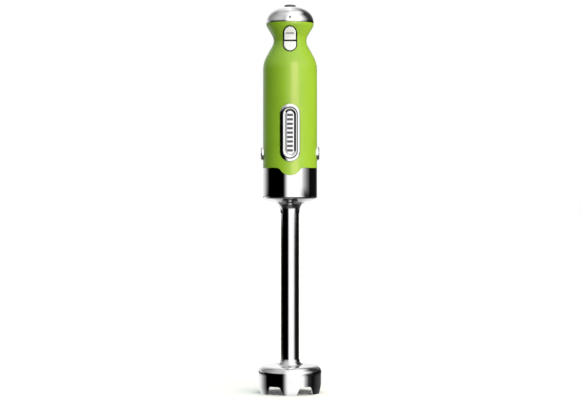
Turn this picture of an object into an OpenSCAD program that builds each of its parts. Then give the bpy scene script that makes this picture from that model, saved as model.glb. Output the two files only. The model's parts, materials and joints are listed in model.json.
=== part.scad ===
// Hand-held immersion blender: motor handle above, detachable mixing shaft below.
// Millimetres. The origin is the centre of the foot's rim, +Z runs up the axis,
// and the switches and the badge face -Y.

/* [Handle] */
// Radius of the grip and of the collar below it
handle_r = 27.9; // [25:0.1:34]
// Wall of the handle shell
handle_wall = 2.4; // [1.6:0.1:3.2]
// Length of the straight grip, from its lower edge to the corner below the neck
grip_len = 109; // [92:1:135]
// Height of the neck's lower cone, from the grip's corner to the waist's corner
neck_low = 22.5; // [19:0.5:27]
// Height of the neck's upper cone
neck_high = 15.5; // [13:0.5:19]
// Radius at which the neck's two cones would meet, before the waist is rounded
waist_corner_r = 15.2; // [14.5:0.1:18]
// Radius of the rim under the speed dial
rim_r = 24.5; // [23:0.1:29]
// Height of the rim's straight band
rim_h = 2.2; // [1.5:0.1:4]
// How far the handle's front lobe dips below its lower edge
lobe_drop = 7.5; // [4:0.5:12]
// Width of the lobe where it leaves the lower edge
lobe_w = 27.8; // [20:0.2:34]

/* [Speed dial] */
// Height of the domed dial
dome_h = 17.6; // [14:0.2:22]
// Wall of the dial
dome_wall = 1.6; // [1.2:0.1:2.4]
// Radius of the cord's passage through the gland
cord_r = 3.4; // [2.5:0.1:4]
// Height of the gland's flange above the dome
gland_rise = 1.7; // [1.2:0.1:3]

/* [Switches] */
// Width of the switch bezel
switch_w = 14.7; // [12:0.1:16]
// Height of the switch bezel
switch_h = 26.5; // [22:0.1:28]
// Width of the bezel's ring
switch_ring = 0.9; // [0.6:0.1:1.4]
// Gap between the two buttons
switch_split = 1.6; // [1:0.1:2.4]
// How far the buttons stand out of the neck
switch_proud = 0.8; // [0.4:0.1:1.4]
// Travel of each switch button
switch_travel = 1.5; // [0.8:0.1:2]

/* [Badge] */
// Width of the badge frame
badge_w = 20.6; // [16:0.1:24]
// Height of the badge frame
badge_h = 58.6; // [46:0.1:70]
// Width of the stepped frame, from its outer edge to the plate
badge_bead = 6; // [4:0.1:7]
// How far the frame stands out of the handle
badge_proud = 1.0; // [0.5:0.1:1.4]
// Height of the badge's centre above the handle's lower edge
badge_rise = 35.6; // [34:0.1:44]

/* [Release buttons] */
// Radius of the round release buttons
release_r = 7.1; // [6:0.1:7.6]
// How far they stand out of the handle
release_proud = 2.4; // [1.5:0.1:3.5]
// Travel of each release button
release_travel = 2.2; // [1.2:0.1:2.4]
// Height of their centres above the handle's lower edge
release_rise = 15.1; // [14.6:0.1:17]

/* [Shaft] */
// Height of the collar's underside above the foot's rim
shaft_rise = 200; // [166:1:240]
// Height of the collar
collar_h = 31.5; // [29:0.5:38]
// Radius of the shaft tube
tube_r = 9.3; // [8.5:0.1:11.2]
// Wall of the shaft tube
tube_wall = 0.9; // [0.6:0.1:1.5]
// Radius of the drive shaft
spindle_r = 3; // [2.5:0.1:3.6]

/* [Blade guard] */
// Radius of the guard
guard_r = 32.4; // [28:0.1:40]
// Height of the guard
guard_h = 28.7; // [25:0.1:35]
// Wall of the guard
guard_wall = 1.8; // [1.2:0.1:2.4]
// Number of feet, one of them at the front
feet = 6; // [4:1:8]
// Height of the arches between the feet
arch_h = 8.5; // [6:0.1:10]
// Angle that an arch spans at the rim
arch_span = 35; // [24:1:38]

/* [Motor] */
// Radius of the stator stack
stator_r = 23; // [21:0.1:23.4]
// Radius of the armature
armature_r = 12.4; // [11:0.1:13]
// Radius of the armature shaft
rotor_shaft_r = 3; // [2.5:0.1:3.6]
// Armature slots
slots = 12; // [8:2:16]

/* [Fits] */
// Radial running clearance of shafts, pins and hubs
run_gap = 0.05; // [0.02:0.01:0.1]
// Gap around buttons and between moving shells
free_gap = 0.25; // [0.15:0.05:0.4]
// Clearance of pieces that are pressed or fastened together
seat_gap = 0.05; // [0.02:0.01:0.1]

/* [Hidden] */
$fn = 96;

// Heights up the axis
hem_z = shaft_rise + collar_h;
grip_top_z = hem_z + grip_len;
waist_z = grip_top_z + neck_low;
shoulder_z = waist_z + neck_high;
rim_z = shoulder_z + rim_h;
dome_z = rim_z + 0.2;
apex_z = rim_z + dome_h;
top_z = apex_z + gland_rise;
inner_r = handle_r - handle_wall;

// Past the outside of the handle, for cuts and sections that run right through
beyond = 2 * handle_r;

// Gap of pieces that are pressed on a shaft
press_gap = 0.02;

// Screws, with their tapped and their clear holes
screw_r = 1.25;
tapped_r = screw_r + seat_gap;
clear_r = screw_r + free_gap;
socket_head_r = 2.4;
collar_head_r = 2.5;
head_gap = 0.2;

// Radii of the arcs that round the handle's outline
grip_fillet = 30;
waist_fillet = 11.3;
shoulder_turn = atan((rim_r - waist_corner_r) / neck_high);
shoulder_fillet = 0.95 * rim_h / tan(shoulder_turn / 2);

// Dial's bearing: the gland in the middle, the carrier's hub round it, the dial's hub outside
gland_neck_r = cord_r + 1.5;
dial_hub_r = cord_r + 3.6;
dial_bore_r = dial_hub_r + run_gap;
track_z = rim_z - 0.6;
track_t = 0.8;
track_r = 12.7;
mark_z = rim_z + 4.4;

// Circuit board
board_z = grip_top_z + 3;
board_y = 4;
board_t = 1.6;

// Switches
switch_z = waist_z + 0.35;
split_z = switch_z - 1.6;
on_z = split_z - 5.7;
turbo_z = split_z + 7.3;
stem_r = 1.9;
carrier_t = 2;
button_back = 13.2;
carrier_front = button_back - switch_travel - free_gap;
plunger_end = 5.1;
stem_end = plunger_end + switch_travel + 0.4;
spring_mean_r = 2.75;
spring_wire_r = 0.3;
button_w = switch_w - 2 * switch_ring;

// Release buttons
release_z = hem_z + release_rise;
release_x = handle_r + release_proud;
flange_r = release_r + 0.8;
flange_t = 1.1;
boss_r = 2;
release_face_t = 2;
release_in = sqrt(pow(inner_r, 2) - pow(flange_r, 2)) - flange_t - 0.2;

// Socket at the bottom of the handle, and the coupling housing that enters it
spigot_gap = 0.15;
spigot_r = inner_r - 6.5;
socket_r = spigot_r + spigot_gap;
socket_screw_r = (inner_r + socket_r) / 2;
socket_angles = [45, 135, 225, 315];
socket_z = hem_z + 0.5;
socket_h = 18;
cap_z = socket_z + socket_h;
spigot_top_z = cap_z + 2;
cap_top_z = cap_z + 4;
web_r = release_in - release_travel - 0.1;
well_r = 11;
flange_z = hem_z - 0.8;
collar_screw_r = inner_r - 3.4;
collar_angles = [30, 150, 270];
ledge_z = flange_z - 9.7;

// Latch levers in the coupling housing
latch_z = hem_z + 5;
latch_x = spigot_r - 2.6;
latch_half = 3.4;
pin_r = 1;
pin_half = 5.8;

// Badge
badge_z = hem_z + badge_rise;
badge_seat_r = handle_r - 0.65 * handle_wall;
badge_plate_r = handle_r - 0.375 * handle_wall;
badge_step = 0.5;

// Motor, stacked on the socket's cap
motor_z = cap_top_z;
motor_wall_r = stator_r - 4.4;
frame_disc = 3.5;
fan_z = motor_z + 10;
fan_h = 8;
stack_z = motor_z + 26;
stack_h = grip_len - 79;
stack_top_z = stack_z + stack_h;
upper_z = stack_top_z + 23;
commutator_z = stack_top_z + 9;
commutator_h = 10;
commutator_r = 7;
bearing_r = 6;
bearing_wall = 2;
bearing_h = 5;
bolt_r = (stator_r + motor_wall_r) / 2;
bolt_shank_r = 1.5;
bolt_hole_r = bolt_shank_r + 2 * seat_gap;
bolt_angles = [90, 270];
air_gap = 0.6;
shoe_t = 1.6;
slot_depth = 4;
slot_w = 1.8;
rotor_low_z = motor_z - 13.5;
brush_w = 5;
brush_h = 6;
brush_z = commutator_z + (commutator_h - brush_h) / 2;

// Shaft
tube_bottom_z = guard_h - 2.7;
tube_top_z = shaft_rise + 12;
hub_z = shaft_rise + 3;
bush_r = 6;
dog_z = hem_z + 2;
dog_h = 15;
dog_r = 9.5;
dog_floor = 5;
blade_z = guard_h - 18.7;
spindle_bottom_z = blade_z - 2.6;
clip_z = tube_top_z + 16.2;
clip_t = 0.7;
groove_depth = 0.4;
boss_bottom_z = blade_z + 4;
wall_slope = 1.1;
foot_h = 7;

// Colours
green = [0.62, 0.78, 0.21];
chrome = [0.80, 0.80, 0.82];
steel = [0.66, 0.67, 0.69];
black = [0.08, 0.08, 0.09];
grey = [0.36, 0.36, 0.38];
copper = [0.72, 0.43, 0.20];
brass = [0.75, 0.62, 0.30];
board_green = [0.10, 0.35, 0.18];

// ---------- Outlines ----------

function unit(v) = v / norm(v);

function turn(u, v) = atan2(u[0] * v[1] - u[1] * v[0], u * v);

// Points of the arc of radius r that rounds the corner b between a and c
function corner_arc(a, b, c, r) =
    let (u = unit(a - b))
    let (v = unit(c - b))
    let (half = abs(turn(u, v)) / 2)
    let (mid = b + unit(u + v) * r / sin(half))
    let (from = b + u * r / tan(half) - mid)
    let (to = b + v * r / tan(half) - mid)
    let (sweep = turn(from, to))
    let (steps = max(2, ceil(abs(sweep) / 6)))
    let (start = atan2(from[1], from[0]))
    [for (i = [0:steps]) mid + r * [cos(start + sweep * i / steps), sin(start + sweep * i / steps)]];

// An outline from corners [x, y] or [x, y, radius], with the corners that have a radius rounded
function rounded(path) =
    let (n = len(path))
    let (xy = [for (p = path) [p[0], p[1]]])
    [
        for (i = [0:n - 1])
            each len(path[i]) == 2
                ? [xy[i]]
                : corner_arc(xy[(i + n - 1) % n], xy[i], xy[(i + 1) % n], path[i][2])
    ];

// Corners of the handle's outline, moved out from the axis by a distance, from the rim down
function neck_corners(out, low_z, high_z) = [
    [rim_r + out, high_z],
    [rim_r + out, shoulder_z, shoulder_fillet + min(out, 0)],
    [waist_corner_r + out, waist_z, waist_fillet - out],
    [handle_r + out, grip_top_z, grip_fillet + out],
    [handle_r + out, low_z],
];

// Radius of the neck's outline at a height
function neck_at(z) = lookup(z, [for (p = rounded(neck_corners(0, hem_z, rim_z))) [p[1], p[0]]]);

// A quarter of a superellipse, from the rim to the crown
function dome_curve(a, b, z, steps) = [
    for (i = [0:steps])
        let (t = 90 * i / steps)
        [a * pow(cos(t), 2 / 2.2), z + b * pow(sin(t), 2 / 2.2)]
];

// ---------- Shared shapes ----------

// The solid inside the handle's outline, moved out by a distance
module neck_body(out, low_z, high_z) {
    rotate_extrude()
        polygon(concat(
            rounded(neck_corners(out, low_z, high_z)),
            [[0, low_z], [0, high_z]]
        ));
}

// A ring between two radii
module ring(r_out, r_in, z, h) {
    translate([0, 0, z])
        difference() {
            cylinder(r = r_out, h = h);
            translate([0, 0, -1]) cylinder(r = r_in, h = h + 2);
        }
}

// A flat pill, upright in the XZ plane
module pill_2d(w, h) {
    translate([0, (h - w) / 2]) circle(d = w);
    translate([0, -(h - w) / 2]) circle(d = w);
    square([w, h - w], center = true);
}

// A pill-shaped bar that runs from y = -far to y = -near at a height
module pill_bar(w, h, z, near, far) {
    translate([0, -near, z])
        rotate([90, 0, 0])
            linear_extrude(height = far - near)
                pill_2d(w, h);
}

// A round bar along Y, from y = -far to y = -near
module rod_y(r, x, z, near, far) {
    translate([x, -near, z])
        rotate([90, 0, 0])
            cylinder(r = r, h = far - near);
}

// A round bar along X on one side, from |x| = near to |x| = far
module rod_x(side, r, z, near, far) {
    translate([side * near, 0, z])
        rotate([0, side * 90, 0])
            cylinder(r = r, h = far - near);
}

// A coil spring along +Z with closed ends cut square enough to sit flat
module coil(mean_r, wire_r, length, turns) {
    sides = 6;
    per_turn = 14;
    n = turns * per_turn;
    rise = length - 2 * wire_r;
    pts = [
        for (i = [0:n])
            let (a = 360 * i / per_turn)
            let (z = wire_r + rise * i / n)
            for (k = [0:sides - 1])
                let (b = 360 * k / sides)
                let (r = mean_r + wire_r * cos(b))
                [r * cos(a), r * sin(a), z + wire_r * sin(b)]
    ];
    walls = [
        for (i = [0:n - 1])
            for (k = [0:sides - 1])
                let (k2 = (k + 1) % sides)
                [i * sides + k, i * sides + k2, (i + 1) * sides + k2, (i + 1) * sides + k]
    ];
    ends = [
        [for (k = [sides - 1:-1:0]) k],
        [for (k = [0:sides - 1]) n * sides + k],
    ];
    polyhedron(points = pts, faces = concat(walls, ends), convexity = 8);
}

// Screws pointing down, with their heads' tops at a height
module screws_down(angles, circle_r, head_z, head_r, head_h, shank_r, length) {
    for (a = angles)
        rotate([0, 0, a])
            translate([circle_r, 0, head_z]) {
                difference() {
                    translate([0, 0, -head_h]) cylinder(r = head_r, h = head_h);
                    translate([-head_r, -0.3, -0.6]) cube([2 * head_r, 0.6, 1]);
                }
                translate([0, 0, -length]) cylinder(r = shank_r, h = length - head_h);
            }
}

// Outline of the handle's lower edge with its front lobe, seen from the front.
// Everything above the edge is inside; a gap moves the edge down.
module hem_2d(gap) {
    half = lobe_w / 2;
    edge = hem_z - gap;
    low = hem_z - lobe_drop - gap;
    start = half - 2.3;
    end = half * 0.42;
    slope = atan(lobe_drop / (start - end));
    bottom_fillet = 0.92 * end / tan(slope / 2);
    polygon(rounded([
        [-beyond, edge],
        [-start, edge, 5],
        [-end, low, bottom_fillet],
        [end, low, bottom_fillet],
        [start, edge, 5],
        [beyond, edge],
        [beyond, rim_z + 40],
        [-beyond, rim_z + 40],
    ]));
}

// The space above the lower edge: the lobe is on the front only
module above_hem(gap) {
    rotate([90, 0, 0])
        linear_extrude(height = beyond)
            hem_2d(gap);
    translate([-beyond, 0, hem_z - gap])
        cube([2 * beyond, beyond, 220]);
}

// ---------- Handle ----------

module housing() {
    low_z = hem_z - lobe_drop - 1;
    color(green)
        difference() {
            intersection() {
                neck_body(0, low_z, rim_z);
                above_hem(0);
            }
            neck_body(-handle_wall, low_z - 1, rim_z + 1);
            pill_bar(
                switch_w + 2 * seat_gap, switch_h + 2 * seat_gap, switch_z, button_back / 2, beyond
            );
            badge_pocket(badge_w + 2 * seat_gap, badge_h + 2 * seat_gap, badge_seat_r - seat_gap);
            for (side = [-1, 1])
                rod_x(side, release_r + free_gap / 2, release_z, spigot_r, beyond);
        }
}

// A pill-shaped block from a radius outwards, at the badge's place
module badge_pocket(w, h, floor_r) {
    difference() {
        pill_bar(w, h, badge_z, 0, beyond);
        cylinder(r = floor_r, h = rim_z);
    }
}

module dial_carrier() {
    bore = gland_neck_r + seat_gap;
    seat_r = rim_r - handle_wall - seat_gap;
    skirt_r = seat_r - 1.1;
    recess_r = seat_r - 4;
    low_z = rim_z - 3.2;
    lip_z = rim_z - 0.7;
    face_z = rim_z - 0.1;
    hub_top_z = apex_z - 5.5;
    color(black)
        rotate_extrude()
            polygon([
                [bore, low_z],
                [skirt_r, low_z],
                [skirt_r, lip_z],
                [seat_r, lip_z],
                [seat_r, face_z],
                [recess_r, face_z],
                [recess_r, track_z],
                [dial_hub_r, track_z],
                [dial_hub_r, hub_top_z],
                [bore, hub_top_z],
            ]);
}

module cord_gland() {
    low_z = rim_z - 3;
    under_z = apex_z + 0.1;
    crown_z = apex_z + 0.5;
    edge = 0.4;
    mouth_r = cord_r + edge;
    lip_r = cord_r + 2.55;
    color(grey)
        rotate_extrude()
            polygon(concat(
                [
                    [cord_r, low_z],
                    [gland_neck_r, low_z],
                    [gland_neck_r, under_z],
                    [lip_r, under_z],
                ],
                [
                    for (t = [0:15:75])
                        [
                            mouth_r + (lip_r - mouth_r) * cos(t),
                            crown_z + (top_z - crown_z) * sin(t)
                        ]
                ],
                [[mouth_r, top_z], [cord_r, top_z - edge]]
            ));
}

module speed_track() {
    board_r = 16;
    strip_w = 2.6;
    strip_t = 0.15;
    sweep = 300;
    color(board_green)
        ring(board_r, dial_hub_r + 0.6, track_z, track_t);
    color(black)
        translate([0, 0, track_z + track_t])
            rotate([0, 0, 90 - sweep / 2])
                rotate_extrude(angle = sweep)
                    translate([track_r - strip_w / 2, 0]) square([strip_w, strip_t]);
}

module circuit_board() {
    half_w = 11;
    hole_x = 9;
    hole_r = 1.1;
    board_h = neck_low + neck_high - 8;
    color(board_green)
        difference() {
            translate([-half_w, board_y, board_z]) cube([2 * half_w, board_t, board_h]);
            for (x = [-hole_x, hole_x])
                rod_y(hole_r, x, board_z + 3, -board_y - board_t - 1, 1 - board_y);
        }
}

module board_parts() {
    front = board_y + board_t + seat_gap;
    base_z = board_z + 0.5;
    capacitor_r = 4.1;
    capacitor_h = 10;
    sink_x = 1.5;
    sink_h = 11;
    fin_t = 1.2;
    fin_pitch = 2.2;
    tab_pitch = 4.5;
    color([0.2, 0.25, 0.5])
        translate([-capacitor_r - 1.1, front + capacitor_r, base_z])
            cylinder(r = capacitor_r, h = capacitor_h);
    color(steel)
        difference() {
            translate([sink_x, front, base_z]) cube([8, 5, sink_h]);
            for (i = [0:2])
                translate([sink_x + fin_t + fin_pitch * i, front + 1.35, base_z - 1])
                    cube([fin_t, 4, sink_h + 2]);
        }
    color(brass)
        for (i = [0:2])
            translate([-6 + tab_pitch * i, front, base_z + sink_h + 4]) cube([2.4, 3, 4]);
}

module switch_bezel() {
    bezel_proud = 0.5;
    color(chrome)
        difference() {
            intersection() {
                neck_body(bezel_proud, hem_z, rim_z);
                pill_bar(switch_w, switch_h, switch_z, button_back - 0.5, beyond);
            }
            pill_bar(button_w, switch_h - 2 * switch_ring, switch_z, 0, beyond);
        }
}

// One half of the switch pill: a shell that follows the neck, with a guide stem
module switch_button(w, gap, z_from, z_to, stem_z) {
    h = switch_h - 2 * switch_ring - 2 * gap;
    wall = 1.2;
    face_t = 1.6;
    difference() {
        intersection() {
            neck_body(switch_proud, hem_z, rim_z);
            pill_bar(w, h, switch_z, button_back, beyond);
            translate([-w, -beyond, z_from]) cube([2 * w, beyond, z_to - z_from]);
        }
        intersection() {
            neck_body(switch_proud - face_t, hem_z, rim_z);
            pill_bar(w - 2 * wall, h - 2 * wall, switch_z, button_back - 1, beyond);
            translate([-w, -beyond, z_from + wall])
                cube([2 * w, beyond, z_to - z_from - 2 * wall]);
        }
    }
    intersection() {
        rod_y(stem_r, 0, stem_z, stem_end, beyond);
        neck_body(0, hem_z, rim_z);
    }
}

module on_button() {
    color(chrome)
        switch_button(
            button_w - 2 * free_gap, free_gap,
            switch_z - switch_h, split_z - switch_split / 2, on_z
        );
}

module turbo_button() {
    groove_w = 9.2;
    groove_h = 1;
    groove_r = neck_at(turbo_z) + 0.3;
    color(chrome)
        difference() {
            switch_button(
                button_w - 4 * free_gap, free_gap,
                split_z + switch_split / 2, switch_z + switch_h, turbo_z
            );
            translate([-groove_w / 2, -handle_r, turbo_z - groove_h / 2])
                cube([groove_w, handle_r - groove_r, groove_h]);
        }
}

module switch_carrier() {
    margin = 4.6;
    half_w = 7.6;
    rib_t = 1.6;
    low = on_z - margin;
    h = turbo_z + margin - low;
    color(black)
        difference() {
            union() {
                translate([-half_w, -carrier_front, low]) cube([2 * half_w, carrier_t, h]);
                for (x = [-half_w, half_w - rib_t])
                    translate([x, -carrier_front, low])
                        cube([rib_t, carrier_front + board_y - seat_gap, h]);
            }
            for (z = [on_z, turbo_z])
                rod_y(stem_r + 2 * run_gap, 0, z, 0, beyond);
        }
}

module micro_switches() {
    side = 6.4;
    front = 3.4;
    plunger_r = 1.2;
    color(grey)
        for (z = [on_z, turbo_z]) {
            translate([-side / 2, -front, z - side / 2])
                cube([side, front + board_y - seat_gap, side]);
            rod_y(plunger_r, 0, z, front - 0.1, plunger_end);
        }
}

// A return spring, from the carrier to just behind its button's face
module switch_spring(z) {
    foot = carrier_front + seat_gap;
    outer_r = spring_mean_r + spring_wire_r;
    end = min(neck_at(z - outer_r), neck_at(z + outer_r)) - 1.2;
    color(steel)
        translate([0, -foot, z])
            rotate([90, 0, 0])
                coil(
                    mean_r = spring_mean_r, wire_r = spring_wire_r, length = end - foot, turns = 4
                );
}

module on_spring() {
    switch_spring(on_z);
}

module turbo_spring() {
    switch_spring(turbo_z);
}

module badge_frame() {
    color(chrome)
        difference() {
            intersection() {
                badge_pocket(badge_w, badge_h, badge_seat_r);
                cylinder(r = handle_r + badge_proud, h = rim_z);
            }
            badge_pocket(
                badge_w - badge_bead, badge_h - badge_bead, handle_r + badge_proud - badge_step
            );
            pill_bar(
                badge_w - 2 * badge_bead, badge_h - 2 * badge_bead - 2, badge_z, 0, beyond
            );
        }
}

// A plain plate with a ladder of raised bars
module badge_plate() {
    w = badge_w - 2 * badge_bead - 0.2;
    h = badge_h - 2 * badge_bead - 2.2;
    bars = 9;
    bar_w = 0.64 * w;
    bar_h = 2.2;
    bar_rise = 0.3;
    pitch = (h - w) / (bars - 1);
    first_z = badge_z - pitch * (bars - 1) / 2 - bar_h / 2;
    color(steel)
        difference() {
            union() {
                intersection() {
                    badge_pocket(w, h, badge_seat_r);
                    cylinder(r = badge_plate_r, h = rim_z);
                }
                for (i = [0:bars - 1])
                    intersection() {
                        translate([-bar_w / 2, -beyond, first_z + i * pitch])
                            cube([bar_w, beyond, bar_h]);
                        cylinder(r = badge_plate_r + bar_rise, h = rim_z);
                    }
            }
            cylinder(r = badge_seat_r, h = rim_z);
        }
}

module handle_socket() {
    color(black)
        difference() {
            ring(inner_r - seat_gap, socket_r, socket_z, socket_h);
            release_windows();
            for (a = socket_angles)
                rotate([0, 0, a])
                    translate([socket_screw_r, 0, socket_z + 6]) cylinder(r = tapped_r, h = socket_h);
        }
}

// Room for the release buttons' flanges, and the holes for their bosses
module release_windows() {
    for (side = [-1, 1]) {
        rod_x(side, flange_r + free_gap, release_z, web_r, beyond);
        rod_x(side, boss_r + free_gap, release_z, 0, beyond);
    }
}

module socket_cap() {
    seat_z = spigot_top_z + 0.3;
    recess_z = cap_z + 2;
    color(black)
        difference() {
            union() {
                ring(inner_r - seat_gap, socket_r, cap_z, cap_top_z - cap_z);
                ring(inner_r - seat_gap, dog_r + 1, seat_z, cap_top_z - seat_z);
            }
            release_windows();
            for (a = socket_angles)
                rotate([0, 0, a])
                    translate([socket_screw_r, 0, 0]) {
                        translate([0, 0, cap_z - 1]) cylinder(r = clear_r, h = socket_h);
                        translate([0, 0, recess_z])
                            cylinder(r = socket_head_r + head_gap, h = socket_h);
                    }
        }
}

module socket_screws() {
    color(steel)
        screws_down(
            angles = socket_angles, circle_r = socket_screw_r, head_z = cap_top_z - 0.2,
            head_r = socket_head_r, head_h = 1.6, shank_r = screw_r, length = 12
        );
}

module release_button(side) {
    cavity_end = release_x - release_face_t;
    cavity_r = release_r - 2.3;
    edge = 0.8;
    groove_h = 0.9;
    color(chrome) {
        difference() {
            union() {
                rod_x(side, release_r, release_z, release_in, release_x - edge);
                rod_x(side, release_r - edge, release_z, release_in, release_x);
                rod_x(side, flange_r, release_z, release_in, release_in + flange_t);
            }
            rod_x(side, cavity_r, release_z, release_in - 1, cavity_end);
            translate([side * release_x - edge, -release_r, release_z + groove_h / 2])
                cube([2 * edge, 2 * release_r, groove_h]);
        }
        rod_x(side, boss_r, release_z, socket_r + spigot_gap, cavity_end + 0.2);
    }
}

module release_button_left() {
    release_button(-1);
}

module release_button_right() {
    release_button(1);
}

module release_spring(side) {
    foot = web_r + seat_gap;
    head = release_x - release_face_t - seat_gap;
    color(steel)
        translate([side * foot, 0, release_z])
            rotate([0, side * 90, 0])
                coil(mean_r = 3.3, wire_r = 0.35, length = head - foot, turns = 5);
}

module release_spring_left() {
    release_spring(-1);
}

module release_spring_right() {
    release_spring(1);
}

// ---------- Motor ----------

module bolt_holes() {
    for (a = bolt_angles)
        rotate([0, 0, a])
            translate([bolt_r, 0, motor_z - 1]) cylinder(r = bolt_hole_r, h = rim_z - motor_z);
}

module motor_mounts() {
    band = 0.2 * stack_h;
    color([0.15, 0.15, 0.16])
        for (z = [stack_z + band / 2, stack_top_z - 1.5 * band])
            ring(inner_r - seat_gap, stator_r + seat_gap, z, band);
}

module stator_core() {
    color(steel)
        translate([0, 0, stack_z])
            linear_extrude(height = stack_h)
                difference() {
                    union() {
                        difference() {
                            circle(r = stator_r);
                            circle(r = motor_wall_r);
                        }
                        for (side = [0, 180])
                            rotate(side) pole_2d();
                    }
                    for (side = [-1, 1])
                        translate([0, side * bolt_r]) circle(r = bolt_hole_r);
                }
}

// One pole: a neck from the ring, and a shoe round the armature
module pole_2d() {
    pole_w = 9;
    half_angle = 52;
    shoe_r = armature_r + air_gap;
    reach = 2 * stator_r;
    translate([shoe_r + 0.5, -pole_w / 2]) square([motor_wall_r - shoe_r, pole_w]);
    intersection() {
        difference() {
            circle(r = shoe_r + shoe_t);
            circle(r = shoe_r);
        }
        polygon([
            [0, 0],
            [reach * cos(half_angle), -reach * sin(half_angle)],
            [2 * reach, 0],
            [reach * cos(half_angle), reach * sin(half_angle)],
        ]);
    }
}

// Each coil is a loop round one pole: two bars beside the pole's neck and two end turns
module field_coils() {
    coil_gap = 0.15;
    r_in = armature_r + air_gap + shoe_t + coil_gap;
    depth = motor_wall_r - r_in - coil_gap;
    outer_angle = 48;
    inner_angle = 20;
    over = 5;
    color(copper)
        for (side = [0, 180])
            rotate([0, 0, side])
                difference() {
                    arc_block(outer_angle, r_in, depth, stack_z - over, stack_h + 2 * over);
                    arc_block(
                        inner_angle, r_in - 1, depth + 2, stack_z - coil_gap,
                        stack_h + 2 * coil_gap
                    );
                }
}

// A block bent round the axis, to an angle each side of +X
module arc_block(half_angle, r, depth, z, h) {
    translate([0, 0, z])
        rotate([0, 0, -half_angle])
            rotate_extrude(angle = 2 * half_angle)
                translate([r, 0]) square([depth, h]);
}

module lower_motor_frame() {
    hub_z = motor_z + 1;
    spoke_w = 4;
    vent_w = 10;
    vent_h = 9;
    vent_r = bearing_r + 8;
    color(grey)
        difference() {
            union() {
                ring(stator_r, motor_wall_r, motor_z, stack_z - motor_z);
                ring(bearing_r + bearing_wall, bearing_r, hub_z, bearing_h + 1);
                for (a = [0:60:300])
                    rotate([0, 0, a])
                        translate([bearing_r + 1, -spoke_w / 2, hub_z])
                            cube([motor_wall_r - bearing_r, spoke_w, frame_disc]);
            }
            bolt_holes();
            release_windows();
            for (a = [30:60:330])
                rotate([0, 0, a])
                    translate([vent_r, -vent_w / 2, motor_z + 9]) cube([stator_r, vent_w, vent_h]);
        }
}

module upper_motor_frame() {
    hub_r = bearing_r + bearing_wall;
    window_w = 8.4;
    window_gap = 0.2;
    color(grey)
        difference() {
            union() {
                ring(stator_r, motor_wall_r, stack_top_z, upper_z - stack_top_z);
                ring(stator_r, hub_r, upper_z, frame_disc);
                ring(hub_r + 0.1, bearing_r, upper_z - 2, frame_disc + 2);
            }
            bolt_holes();
            translate([-beyond / 2, -window_w / 2, commutator_z - window_gap])
                cube([beyond, window_w, commutator_h + 2 * window_gap]);
        }
}

module bearing(z) {
    color(brass)
        ring(bearing_r - seat_gap, rotor_shaft_r + run_gap, z, bearing_h);
}

module lower_bearing() {
    bearing(motor_z + 1.5);
}

module upper_bearing() {
    bearing(upper_z - 1.6);
}

module motor_bolts() {
    head_h = 1.8;
    top_z = upper_z + frame_disc;
    color(steel)
        screws_down(
            angles = bolt_angles, circle_r = bolt_r, head_z = top_z + head_h, head_r = 2.1,
            head_h = head_h, shank_r = bolt_shank_r, length = top_z - motor_z
        );
}

module brush_holders() {
    middle = 15.8;
    length = 11.6;
    width = 8;
    height = 9;
    slot = length + 2;
    color(brass)
        for (side = [-1, 1])
            difference() {
                translate([side * middle - length / 2, -width / 2, commutator_z + 0.5])
                    cube([length, width, height]);
                translate([side * middle - slot / 2, -brush_w / 2 - run_gap, brush_z - run_gap])
                    cube([slot, brush_w + 2 * run_gap, brush_h + 2 * run_gap]);
            }
}

module carbon_brushes() {
    middle = 13.6;
    length = 14.8;
    color([0.16, 0.16, 0.17])
        for (side = [-1, 1])
            difference() {
                translate([side * middle - length / 2, -brush_w / 2, brush_z])
                    cube([length, brush_w, brush_h]);
                cylinder(r = commutator_r + run_gap, h = rim_z);
            }
}

module armature_shaft() {
    color(steel)
        translate([0, 0, rotor_low_z])
            cylinder(r = rotor_shaft_r, h = upper_z + frame_disc + 1.5 - rotor_low_z);
}

module armature_core() {
    color(grey)
        difference() {
            ring(armature_r, rotor_shaft_r + press_gap, stack_z, stack_h);
            for (a = [0:360 / slots:359])
                rotate([0, 0, a])
                    translate([armature_r - slot_depth, -slot_w / 2, stack_z - 1])
                        cube([2 * slot_depth, slot_w, stack_h + 2]);
        }
}

// End turns above and below the core, joined by the wires in its slots
module armature_winding() {
    turn_in = rotor_shaft_r + 1;
    turn_r = armature_r - 1.2;
    turn_h = 5.9;
    corner = 2.2;
    wire_gap = 0.1;
    wire_w = slot_w - 2 * wire_gap;
    over = 1.5;
    color(copper) {
        for (z = [stack_z - turn_h - wire_gap, stack_top_z + wire_gap])
            translate([0, 0, z])
                rotate_extrude()
                    polygon(rounded([
                        [turn_in, 0],
                        [turn_r, 0, corner],
                        [turn_r, turn_h, corner],
                        [turn_in, turn_h],
                    ]));
        for (a = [0:360 / slots:359])
            rotate([0, 0, a])
                translate([armature_r - slot_depth + wire_gap, -wire_w / 2, stack_z - over])
                    cube([2.2, wire_w, stack_h + 2 * over]);
    }
}

module commutator() {
    bars = 2 * slots;
    cut_w = 0.4;
    cut_depth = 0.7;
    color(copper)
        difference() {
            ring(commutator_r, rotor_shaft_r + press_gap, commutator_z, commutator_h);
            for (a = [0:360 / bars:359])
                rotate([0, 0, a])
                    translate([commutator_r - cut_depth, -cut_w / 2, commutator_z - 1])
                        cube([2, cut_w, commutator_h + 2]);
        }
}

module cooling_fan() {
    fan_r = motor_wall_r - 0.9;
    disc_t = 1.4;
    vane_t = 1.2;
    color([0.85, 0.85, 0.80]) {
        ring(fan_r, rotor_shaft_r + press_gap, fan_z, disc_t);
        ring(bearing_r, rotor_shaft_r + press_gap, fan_z, fan_h);
        for (a = [0:30:330])
            rotate([0, 0, a])
                translate([bearing_r + 1.5, -vane_t / 2, fan_z + 1])
                    cube([fan_r - bearing_r - 1.8, vane_t, fan_h - 1]);
    }
}

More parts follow.
